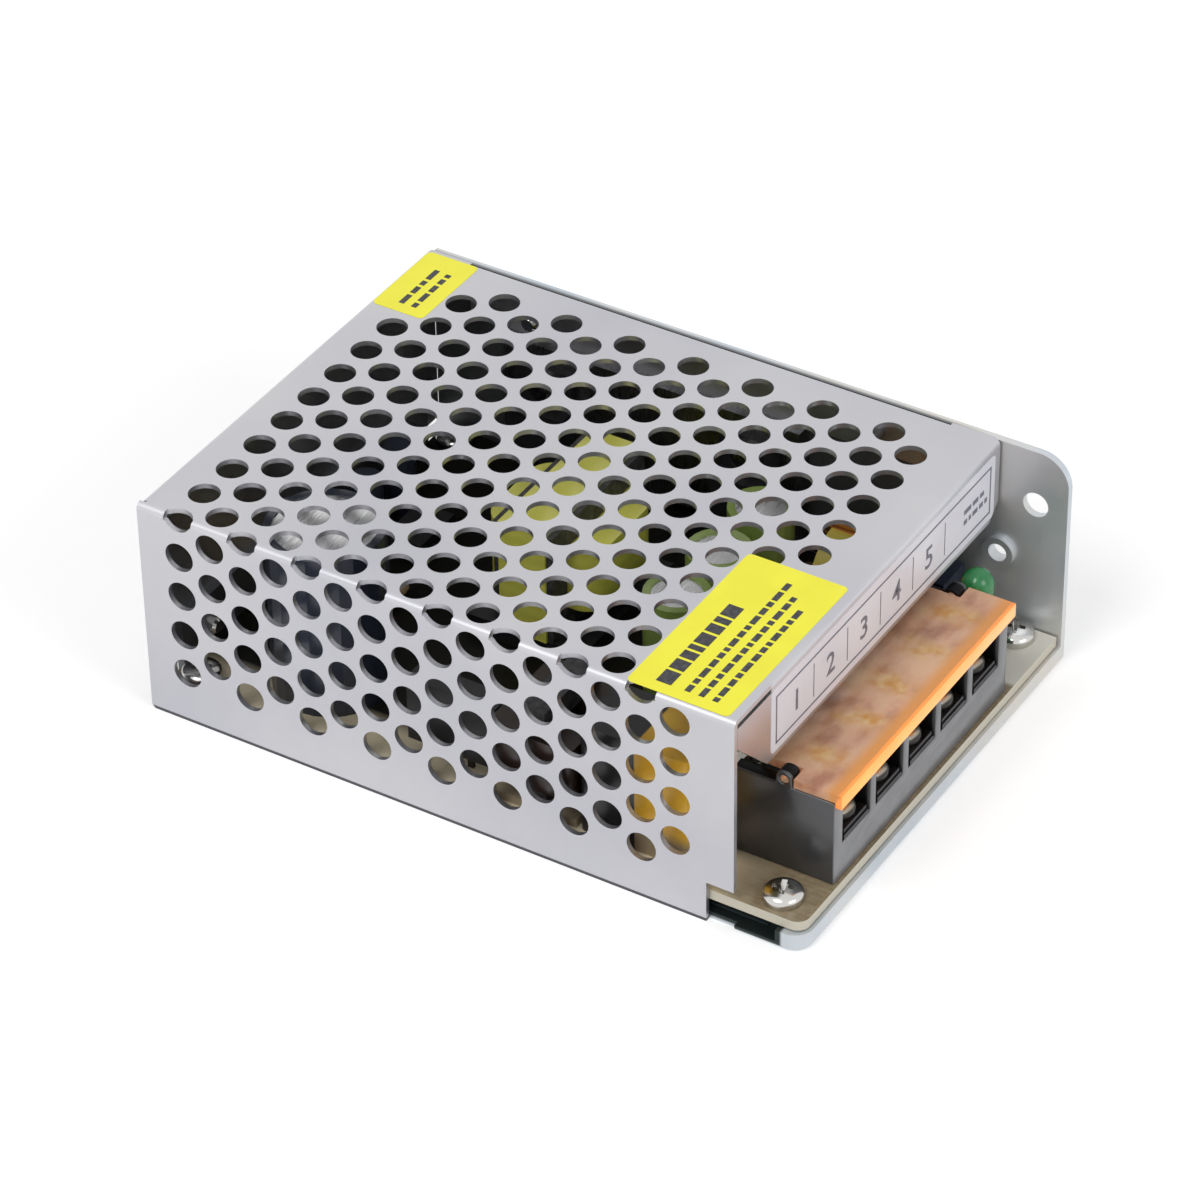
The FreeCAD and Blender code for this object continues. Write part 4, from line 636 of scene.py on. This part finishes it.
def cover_sheet_mesh():
    """The folded sheet without its holes, as one closed solid."""
    top, low = COVER_TOP, COVER_TOP - FOLD
    left, right, front, back = COVER_LEFT, COVER_RIGHT, COVER_FRONT, COVER_BACK
    strip_left, slit_low, slit_end = left + SHEET + WALL_GAP, top - SLIT_DEPTH, left + SLIT_WIDTH
    strip_right, strip_low = right - STRIP_END, top - STRIP_HEIGHT
    flange_front, flange_back, flange_low = front + FLANGE_INSET, back - FLANGE_INSET, top - FLANGE_HEIGHT
    notch, flap_left, flap_side = front + NOTCH_LENGTH, strip_left + FLAP_GAP, FLAP_LOW + FLAP_CORNER
    skin = bmesh.new()
    add_polygon(skin, [
        (left + FOLD, front, top), (slit_end, front, top), (slit_end, front + FOLD, top),
        (strip_right, front + FOLD, top), (right, front + FOLD, top), (right, flange_front, top),
        (right - FOLD, flange_front, top), (right - FOLD, flange_back, top), (right, flange_back, top),
        (right, back - FOLD, top), (flap_left, back - FOLD, top), (left + FOLD, back - FOLD, top),
    ])
    add_fold(skin, [(left + FOLD, front), (left + FOLD, back - FOLD), (left + FOLD, back)], (-1, 0, 0))
    add_polygon(skin, [
        (left, front, low), (left, back - FOLD, low), (left, back, low), (left, back, WALL_CORNER),
        (left, back - WALL_CORNER, 0), (left, notch, 0), (left, notch, NOTCH_HEIGHT),
        (left, front, NOTCH_HEIGHT),
    ])
    add_fold(skin, [(slit_end, front + FOLD), (strip_right, front + FOLD)], (0, -1, 0))
    add_polygon(skin, [
        (slit_end, front, low), (strip_right, front, low), (strip_right, front, strip_low + STRIP_CORNER),
        (strip_right - STRIP_CORNER, front, strip_low), (strip_left + STRIP_SLANT, front, strip_low),
        (strip_left, front, strip_low + STRIP_SLANT), (strip_left, front, slit_low),
        (slit_end, front, slit_low),
    ])
    add_fold(skin, [(flap_left, back - FOLD), (right, back - FOLD)], (0, 1, 0))
    add_polygon(skin, [
        (flap_left, back, low), (right, back, low), (right, back, flap_side),
        (right - FLAP_CORNER, back, FLAP_LOW), (flap_left + FLAP_CORNER, back, FLAP_LOW),
        (flap_left, back, flap_side),
    ])
    add_fold(skin, [(right - FOLD, flange_front), (right - FOLD, flange_back)], (1, 0, 0))
    add_polygon(skin, [
        (right, flange_front, low), (right, flange_back, low), (right, flange_back, flange_low),
        (right, flange_front, flange_low),
    ])
    bmesh.ops.remove_doubles(skin, verts=skin.verts, dist=0.00001)
    bmesh.ops.recalc_face_normals(skin, faces=skin.faces)
    if max(skin.faces, key=lambda face: face.calc_area()).normal.z < 0:
        bmesh.ops.reverse_faces(skin, faces=skin.faces)
    mesh = bpy.data.meshes.new("cover_skin")
    skin.to_mesh(mesh)
    skin.free()
    obj = working_object("cover_skin", mesh)
    wall = obj.modifiers.new("thickness", "SOLIDIFY")
    wall.thickness = SHEET * MM
    wall.offset = -1
    wall.use_even_offset = True
    return settle(obj)


def perforation_tree():
    """Punches staggered rows of round holes through the top and the left wall, over the fold between them."""
    tree = NodeTree(
        "punched_holes", Hole_Radius=2.4 * MM, Row_Pitch=7.0 * MM, Column_Pitch=5.5 * MM, Columns=8,
        Top_Rows=11, Wall_Rows=5, Sides=24, Corner=(0.0, 0.0, 0.0),
    )
    cutters = []
    for rows_name, turn in (("Top_Rows", None), ("Wall_Rows", (0, math.pi / 2, 0))):
        punch = tree.add(
            "GeometryNodeMeshCylinder", Vertices=tree.size("Sides"), Radius=tree.size("Hole_Radius"),
            Depth=PUNCH_DEPTH * MM,
        )
        for odd in (0, 1):
            rows = tree.math("SUBTRACT", tree.size(rows_name), odd)
            run = tree.math("MULTIPLY", tree.size("Row_Pitch"), tree.math("SUBTRACT", rows, 1))
            step = tree.math("MULTIPLY", tree.size("Column_Pitch"), 2)
            reach = tree.math("MULTIPLY", step, tree.math("SUBTRACT", tree.size("Columns"), 1))
            grid = tree.add(
                "GeometryNodeMeshGrid", Size_X=run, Size_Y=reach, Vertices_X=rows,
                Vertices_Y=tree.size("Columns"),
            )
            half_run = tree.math("MULTIPLY", run, 0.5)
            from_corner = tree.math("ADD", half_run, tree.math("MULTIPLY", tree.size("Row_Pitch"), odd / 2))
            back = tree.math("MULTIPLY", reach, -0.5)
            shift = tree.math("SUBTRACT", back, tree.math("MULTIPLY", tree.size("Column_Pitch"), odd))
            offset = tree.add("ShaderNodeCombineXYZ", X=from_corner, Y=shift)
            placed = tree.add(
                "GeometryNodeTransform", Geometry=grid.outputs["Mesh"], Translation=offset.outputs["Vector"]
            )
            holes = tree.add(
                "GeometryNodeInstanceOnPoints", Points=placed.outputs["Geometry"],
                Instance=punch.outputs["Mesh"],
            )
            turned = tree.add(
                "GeometryNodeTransform", Geometry=holes.outputs["Instances"], Translation=tree.size("Corner"),
                Rotation=turn or (0, 0, 0),
            )
            cutters.append(tree.add("GeometryNodeRealizeInstances", Geometry=turned.outputs["Geometry"]))
    punched = tree.add("GeometryNodeMeshBoolean", {"operation": "DIFFERENCE", "solver": "EXACT"})
    tree.join(tree.geometry, punched.inputs["Mesh 1"])
    for cutter in cutters:
        tree.join(cutter.outputs["Geometry"], punched.inputs["Mesh 2"])
    tree.finish(punched.outputs["Mesh"], COVER)
    return tree


def soften(node, width, material, body="case", name=None, segments=2):
    """A copy of a plain node with small rounds on its edges, which catch the light as moulded edges do."""
    shape = bmesh.new()
    shape.from_mesh(NODES[node].data)
    bmesh.ops.remove_doubles(shape, verts=shape.verts, dist=0.000002)
    bmesh.ops.dissolve_limit(
        shape, angle_limit=math.radians(1), verts=shape.verts, edges=shape.edges, delimit={"NORMAL"}
    )
    mesh = bpy.data.meshes.new(node + "_rounded")
    shape.to_mesh(mesh)
    shape.free()
    obj = working_object(node + "_rounded", mesh)
    bevel = obj.modifiers.new("edges", "BEVEL")
    bevel.width = width * MM
    bevel.segments = segments
    bevel.limit_method = "ANGLE"
    bevel.angle_limit = math.radians(40)
    finished = settle(obj)
    smooth_with_creases(finished, 40)
    return new_piece(name or node + "_rounded", finished, material, body, [node])


def mesh_from(name, shape):
    bmesh.ops.recalc_face_normals(shape, faces=shape.faces)
    mesh = bpy.data.meshes.new(name)
    shape.to_mesh(mesh)
    shape.free()
    return mesh


def turned(name, profile, sides=48):
    """A closed body turned round Z from its profile of (radius, height), in millimetres."""
    shape = bmesh.new()
    verts = [shape.verts.new(Vector((radius, 0, height)) * MM) for radius, height in profile]
    edges = [shape.edges.new(pair) for pair in zip(verts, verts[1:])]
    bmesh.ops.spin(
        shape, geom=verts + edges, cent=(0, 0, 0), axis=(0, 0, 1), angle=math.tau, steps=sides,
        use_duplicate=False,
    )
    bmesh.ops.remove_doubles(shape, verts=shape.verts, dist=0.000001)
    mesh = mesh_from(name, shape)
    smooth_with_creases(mesh, 35)
    return mesh


def cut_away(mesh, cutters):
    """The mesh less each of the cutter meshes."""
    obj = working_object("blank", mesh)
    tools = [working_object("cutter", cutter) for cutter in cutters]
    for tool in tools:
        cutting = obj.modifiers.new("cut", "BOOLEAN")
        cutting.operation = "DIFFERENCE"
        cutting.solver = "EXACT"
        cutting.object = tool
    finished = settle(obj)
    for tool in tools:
        bpy.data.objects.remove(tool)
    smooth_with_creases(finished, 35)
    return finished


def cross_recess(top, reach, width, depth, turn):
    """A cutter for a cross recess: its four wings narrow to the tip."""
    shape = bmesh.new()
    rings = []
    for along, across, height in ((1, 1, top + 0.3), (0.35, 0.55, top - depth)):
        long, half = reach * along, width / 2 * across
        ring = []
        for quarter in range(4):
            swing = Matrix.Rotation(math.radians(turn + 90 * quarter), 3, "Z")
            for x, y in ((long, -half), (long, half), (half, half)):
                ring.append(shape.verts.new(swing @ Vector((x, y, height)) * MM))
        rings.append(ring)
    upper, lower = rings
    shape.faces.new(upper)
    shape.faces.new(lower[::-1])
    for number in range(len(upper)):
        after = (number + 1) % len(upper)
        shape.faces.new([lower[number], lower[after], upper[after], upper[number]])
    return mesh_from("recess", shape)


def cross_screw(name, profile, top, reach, width=0.8, depth=1.3, turn=20):
    """A screw with a cross recess in its top, its seat at the origin and its head along +Z."""
    return cut_away(turned(name, profile), [cross_recess(top, reach, width, depth, turn)])


def pan_profile(head_radius, head_height, shank_radius, shank_length):
    """A domed pan head over a plain shank with a bevelled end."""
    points = [
        (0, -shank_length), (shank_radius * 0.7, -shank_length), (shank_radius, 0.5 - shank_length),
        (shank_radius, 0), (head_radius - 0.1, 0), (head_radius, 0.15),
    ]
    rim = head_height * 0.45
    steps = 8
    for step in range(steps + 1):
        swing = math.pi / 2 * step / steps
        points.append((head_radius * math.cos(swing), rim + (head_height - rim) * math.sin(swing)))
    return points


def set_in_places(name, mesh, places, material):
    """The same piece at each place, as one mesh."""
    pattern = working_object(name + "_pattern", mesh)
    tree = NodeTree(name + "_places")
    source = tree.add("GeometryNodeObjectInfo")
    source.inputs["Object"].default_value = pattern
    copies = tree.add(
        "GeometryNodeInstanceOnPoints", Points=tree.geometry, Instance=source.outputs["Geometry"]
    )
    tree.finish(copies.outputs["Instances"], material)
    spots = bpy.data.meshes.new(name + "_spots")
    spots.from_pydata([Vector(place) * MM for place in places], [], [])
    finished = tree.applied(name, spots)
    bpy.data.objects.remove(pattern)
    smooth_with_creases(finished, 35)
    return finished


def flap_countersinks():
    """Cutters for the sunk screw holes of the back flap, a little wider than the screws' heads."""
    mouth, above = FLAT_HEAD_RADIUS + 0.05, 0.6
    profile = [(0, -SUNK_DEPTH), (1.5, -SUNK_DEPTH), (mouth, 0.02), (mouth, above), (0, above)]
    cutters = []
    for x in FLAP_SCREW_X:
        cone = turned("countersink", profile, sides=32)
        cone.transform(Matrix.Rotation(-math.pi / 2, 4, "X"))
        cone.transform(Matrix.Translation(Vector((x, COVER_BACK, FLAP_SCREW_Z)) * MM))
        cutters.append(cone)
    return cutters


def make_cover():
    corner = (COVER_LEFT * MM, (COVER_BACK - HOLES_FROM_BACK) * MM, COVER_TOP * MM)
    sheet = cut_away(cover_sheet_mesh(), flap_countersinks())
    mesh = perforation_tree().applied("perforated", sheet, Corner=corner)
    smooth_with_creases(mesh)
    return new_piece("perforated_cover", mesh, COVER, replaces=["mesh_cover"])


# Radius and height of the domed heads
BOARD_HEAD = (3.0, 2.2)
TERMINAL_HEAD = (2.9, 2.0)


def corners_of(node):
    return [Vector(corner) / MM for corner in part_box(node)]


def make_board_screws():
    low, high = corners_of("board_screws")
    radius, height = BOARD_HEAD
    seat = high.z - height
    profile = pan_profile(radius, height, shank_radius=1.4, shank_length=seat - low.z)
    screw = cross_screw("board_screw", profile, height, reach=1.9, width=0.9, depth=1.4)
    sides = (low.x + radius, high.x - radius)
    ends = (low.y + radius, high.y - radius)
    places = [(x, y, seat) for x in sides for y in ends]
    mesh = set_in_places("board_screw_set", screw, places, NICKEL)
    new_piece("cross_board_screws", mesh, NICKEL, replaces=["board_screws"])


def make_terminal_screws():
    """Each screw rides with its own clamp washer."""
    radius, height = TERMINAL_HEAD
    for number in TERMINALS:
        node = f"terminal_screw_{number}"
        low, high = corners_of(node)
        seat = high.z - height
        profile = pan_profile(radius, height, shank_radius=1.45, shank_length=seat - low.z)
        mesh = cross_screw(node + "_cross", profile, height, reach=2.0, width=0.9, turn=25 * number)
        middle = (low + high) / 2
        mesh.transform(Matrix.Translation(Vector((middle.x, middle.y, seat)) * MM))
        new_piece(node + "_cross", mesh, SHADED_STEEL, f"clamp_{number}", [node])


def make_cover_screws():
    """Flat heads, sunk flush in the right wall and in the back flap."""
    low, high = corners_of("cover_screws")
    length, shank = 5.0, 1.4
    profile = [
        (0, -length), (shank - 0.4, -length), (shank, 0.4 - length), (shank, -SUNK_DEPTH),
        (FLAT_HEAD_RADIUS, 0), (0, 0),
    ]
    screw = cross_screw("flat_screw", profile, 0, reach=1.7, width=0.75, depth=1.1)
    sideways, backward = screw.copy(), screw
    sideways.transform(Matrix.Rotation(math.pi / 2, 4, "Y"))
    backward.transform(Matrix.Rotation(-math.pi / 2, 4, "X"))
    wall_z = high.z - FLAT_HEAD_RADIUS
    wall_places = [(high.x, y, wall_z) for y in (low.y + FLAT_HEAD_RADIUS, REAR_WALL_SCREW_Y)]
    back_places = [(x, high.y, FLAP_SCREW_Z) for x in FLAP_SCREW_X]
    for side, mesh, places in (("wall", sideways, wall_places), ("back", backward, back_places)):
        finished = set_in_places(side + "_screw_set", mesh, places, NICKEL)
        new_piece(side + "_cover_screws", finished, NICKEL, replaces=["cover_screws"])


def make_lamp():
    """The green lamp: a flange, a straight body and a round dome."""
    low, high = corners_of("led")
    middle = (low + high) / 2
    radius, flange, rim = 2.5, (high.x - low.x) / 2, 0.9
    tall = high.z - low.z
    profile = [(0, 0), (flange, 0), (flange, rim), (radius, rim + 0.1), (radius, tall - radius)]
    steps = 10
    for step in range(1, steps + 1):
        swing = math.pi / 2 * step / steps
        profile.append((radius * math.cos(swing), tall - radius + radius * math.sin(swing)))
    mesh = turned("lamp_dome", profile)
    mesh.transform(Matrix.Translation(Vector((middle.x, middle.y, low.z)) * MM))
    new_piece("green_lamp", mesh, GREEN_LENS, replaces=["led"])


def make_lid():
    """The clear lid; the faces of its front lip take the finish of its edge."""
    lip_depth = 1.6
    obj = soften("terminal_lid", 0.25, AMBER, "lid", "clear_lid", segments=3)
    low = corners_of("terminal_lid")[0]
    obj.data.materials.append(AMBER_EDGE)
    for face in obj.data.polygons:
        if face.center.y / MM < low.y + lip_depth:
            face.material_index = 1


class Sticker:
    """Thin paper with round corners, and marks of ink on it, laid out in its own flat millimetres."""

    PAPER = 0.06
    INK_DEPTH = 0.03
    CORNER = 0.8
    CORNER_STEPS = 4

    def __init__(self, name, node, material, slot, face):
        self.name, self.node, self.material, self.slot = name, node, material, slot
        low, high = corners_of(node)
        if face == "top":
            self.matrix = Matrix.Translation((low.x, low.y, low.z))
            self.size = (high.x - low.x, high.y - low.y)
        else:
            self.matrix = Matrix.Translation((low.x, high.y, low.z)) @ Matrix.Rotation(math.pi / 2, 4, "X")
            self.size = (high.x - low.x, high.z - low.z)
        self.ink = bmesh.new()

    def prism(self, shape, outline, low, high):
        bottoms = [shape.verts.new((u, v, low)) for u, v in outline]
        tops = [shape.verts.new((u, v, high)) for u, v in outline]
        shape.faces.new(tops)
        shape.faces.new(bottoms[::-1])
        for number in range(len(outline)):
            after = (number + 1) % len(outline)
            shape.faces.new([bottoms[number], bottoms[after], tops[after], tops[number]])

    def bar(self, u, v, width, height):
        outline = [(u, v), (u + width, v), (u + width, v + height), (u, v + height)]
        self.prism(self.ink, outline, self.PAPER, self.PAPER + self.INK_DEPTH)

    def digit(self, character, u, v, size):
        letter = bpy.data.curves.new("digit", "FONT")
        letter.body = character
        letter.size = size
        letter.align_x = "CENTER"
        letter.extrude = self.INK_DEPTH / 2
        letter.offset = 0.05
        mesh = settle(working_object("digit", letter))
        mesh.transform(Matrix.Translation((u, v, self.PAPER + self.INK_DEPTH / 2)))
        self.ink.from_mesh(mesh)

    def finish(self, ink_material):
        radius, (width, height) = self.CORNER, self.size
        right, upper = width - radius, height - radius
        outline = []
        for number, (u, v) in enumerate([(right, upper), (radius, upper), (radius, radius), (right, radius)]):
            for step in range(self.CORNER_STEPS + 1):
                swing = math.pi / 2 * (number + step / self.CORNER_STEPS)
                outline.append((u + radius * math.cos(swing), v + radius * math.sin(swing)))
        paper = bmesh.new()
        self.prism(paper, outline, 0, self.PAPER)
        scale = Matrix.Scale(MM, 4) @ self.matrix
        sheet = mesh_from(self.name + "_sheet", paper)
        sheet.transform(scale)
        new_piece(self.name, sheet, self.material, replaces=[self.node])
        marks = mesh_from(self.name + "_marks", self.ink)
        marks.transform(scale)
        new_piece(self.name + "_print", marks, ink_material, replaces=[self.node])


def print_row(sticker, u, v, width, height, gap, count, seed):
    """A row of blocks of uneven width from its lower left corner on, which stands for a line of print."""
    start = u
    for number in range(count):
        block = width * (0.55 + ((number * 37 + seed * 13) % 10) / 10)
        sticker.bar(start, v, block, height)
        start += block + gap


def make_labels():
    top = Sticker("yellow_sticker", "top_label", YELLOW_PAPER, "yellow_paper", "top")
    print_row(top, 2.0, 10.2, width=2.0, height=2.4, gap=0.5, count=8, seed=3)
    for row in range(3):
        print_row(top, 2.0, 7.2 - 2.2 * row, width=1.5, height=0.9, gap=0.5, count=14 - row, seed=row + 5)
    top.finish(INK)
    corner = Sticker("corner_sticker", "corner_label", YELLOW_PAPER, "yellow_paper", "top")
    print_row(corner, 2.0, 4.6, width=2.2, height=0.9, gap=0.6, count=4, seed=2)
    print_row(corner, 2.0, 2.4, width=1.6, height=0.9, gap=0.6, count=5, seed=4)
    corner.finish(INK)
    strip = Sticker("strip_sticker", "strip_label", WHITE_PAPER, "white_paper", "front")
    width, height = strip.size
    line, inset, upper = 0.32, 1.2, 1.8
    strip.bar(inset, inset, width - 2 * inset, line)
    strip.bar(inset, inset, line, height - inset - upper)
    strip.bar(inset, height - upper, width - 2 * inset, line)
    strip.bar(width - inset - line, inset, line, height - inset - upper)
    label_left, half_cell, digit_size = corners_of("strip_label")[0].x, 4.65, 5.2
    for number in TERMINALS:
        low, high = corners_of(f"terminal_screw_{number}")
        middle = (low.x + high.x) / 2 - label_left
        strip.digit(str(number), middle, 3.4, digit_size)
        strip.bar(middle + half_cell, 2 * inset, 0.2, height - digit_size)
    print_row(strip, 55.5, 5.8, width=1.6, height=0.8, gap=0.5, count=3, seed=6)
    print_row(strip, 55.5, 4.0, width=1.2, height=0.8, gap=0.5, count=5, seed=1)
    strip.finish(GREY_INK)


def make_camera():
    """The photo's view, as fitted to the case's corners and its rows of holes."""
    camera = bpy.data.cameras.new("camera")
    camera.lens = 156.26
    camera.sensor_width = 36
    obj = bpy.data.objects.new("camera", camera)
    bpy.context.scene.collection.objects.link(obj)
    right, up = Vector((0.5217, -0.8531, -0.0118)), Vector((0.521, 0.3076, 0.7962))
    back, place = right.cross(up), Vector((-0.5140, -0.3192, 0.4751))
    obj.matrix_world = Matrix((
        (right.x, up.x, back.x, place.x),
        (right.y, up.y, back.y, place.y),
        (right.z, up.z, back.z, place.z),
        (0, 0, 0, 1),
    ))
    bpy.context.scene.camera = obj


def seen_directly(tree):
    """1 for rays from the camera, and for those that metal and glass send on; 0 for the light itself."""
    path = tree.nodes.new("ShaderNodeLightPath")
    total = path.outputs["Is Camera Ray"]
    for kind in ("Is Glossy Ray", "Is Transmission Ray"):
        add = tree.nodes.new("ShaderNodeMath")
        add.operation = "MAXIMUM"
        tree.links.new(total, add.inputs[0])
        tree.links.new(path.outputs[kind], add.inputs[1])
        total = add.outputs[0]
    return total


def make_floor():
    """A white floor whose glow is weaker near the case, a painted shade that deepens the soft shadow there,
    and stronger away from it.
    """
    reach = 6.0
    corners = [(-reach, -reach, 0), (reach, -reach, 0), (reach, reach, 0), (-reach, reach, 0)]
    mesh = bpy.data.meshes.new("floor")
    mesh.from_pydata(corners, [], [(0, 1, 2, 3)])
    floor = bpy.data.objects.new("floor", mesh)
    bpy.context.scene.collection.objects.link(floor)
    material = bpy.data.materials.new("pale_floor")
    material.use_nodes = True
    tree = material.node_tree
    shader = tree.nodes["Principled BSDF"]
    shader.inputs["Base Color"].default_value = (0.80, 0.80, 0.80, 1)
    shader.inputs["Roughness"].default_value = 0.9
    shader.inputs["Specular IOR Level"].default_value = 0.0
    shader.inputs["Emission Color"].default_value = (1, 1, 1, 1)
    distance = tree.nodes.new("ShaderNodeVectorMath")
    distance.operation = "LENGTH"
    tree.links.new(tree.nodes.new("ShaderNodeTexCoord").outputs["Object"], distance.inputs[0])
    # Painted shade: the floor's glow is weaker near the case.
    glow_with_painted_shade = tree.nodes.new("ShaderNodeMapRange")
    glow_with_painted_shade.interpolation_type = "SMOOTHSTEP"
    for socket, value in (("From Min", 0.06), ("From Max", 0.40), ("To Min", 0.34), ("To Max", 0.75)):
        glow_with_painted_shade.inputs[socket].default_value = value
    tree.links.new(distance.outputs["Value"], glow_with_painted_shade.inputs["Value"])
    strength = tree.nodes.new("ShaderNodeMath")
    strength.operation = "MULTIPLY"
    tree.links.new(glow_with_painted_shade.outputs["Result"], strength.inputs[1])
    tree.links.new(seen_directly(tree), strength.inputs[0])
    tree.links.new(strength.outputs[0], shader.inputs["Emission Strength"])
    mesh.materials.append(material)


def make_surroundings():
    """White where it is seen, and half as strong where it only lights the case."""
    world = bpy.data.worlds.new("studio")
    bpy.context.scene.world = world
    world.use_nodes = True
    tree = world.node_tree
    background = tree.nodes["Background"]
    background.inputs["Color"].default_value = (1, 1, 1, 1)
    span = tree.nodes.new("ShaderNodeMapRange")
    span.inputs["To Min"].default_value = 0.52
    span.inputs["To Max"].default_value = 1.0
    tree.links.new(seen_directly(tree), span.inputs["Value"])
    tree.links.new(span.outputs["Result"], background.inputs["Strength"])


def add_lamp(name, place, size, power):
    """A round soft lamp aimed at the case."""
    lamp = bpy.data.lights.new(name, "AREA")
    lamp.shape = "DISK"
    lamp.size = size
    lamp.energy = power
    obj = bpy.data.objects.new(name, lamp)
    bpy.context.scene.collection.objects.link(obj)
    obj.location = place
    obj.rotation_euler = (-Vector(place)).to_track_quat("-Z", "Y").to_euler()


bpy.context.scene.view_settings.view_transform = "Standard"
make_camera()
make_floor()
make_surroundings()
add_lamp("key", (-0.7, 0.1, 1.0), 0.6, 5)
add_lamp("front", (-0.2, -1.1, 0.7), 0.7, 4)
dress_carried_nodes()
make_cover()
make_board_screws()
make_terminal_screws()
make_cover_screws()
make_lamp()
make_lid()
soften("terminal_housing", 0.2, BLOCK_BLACK, name="moulded_block")
make_labels()
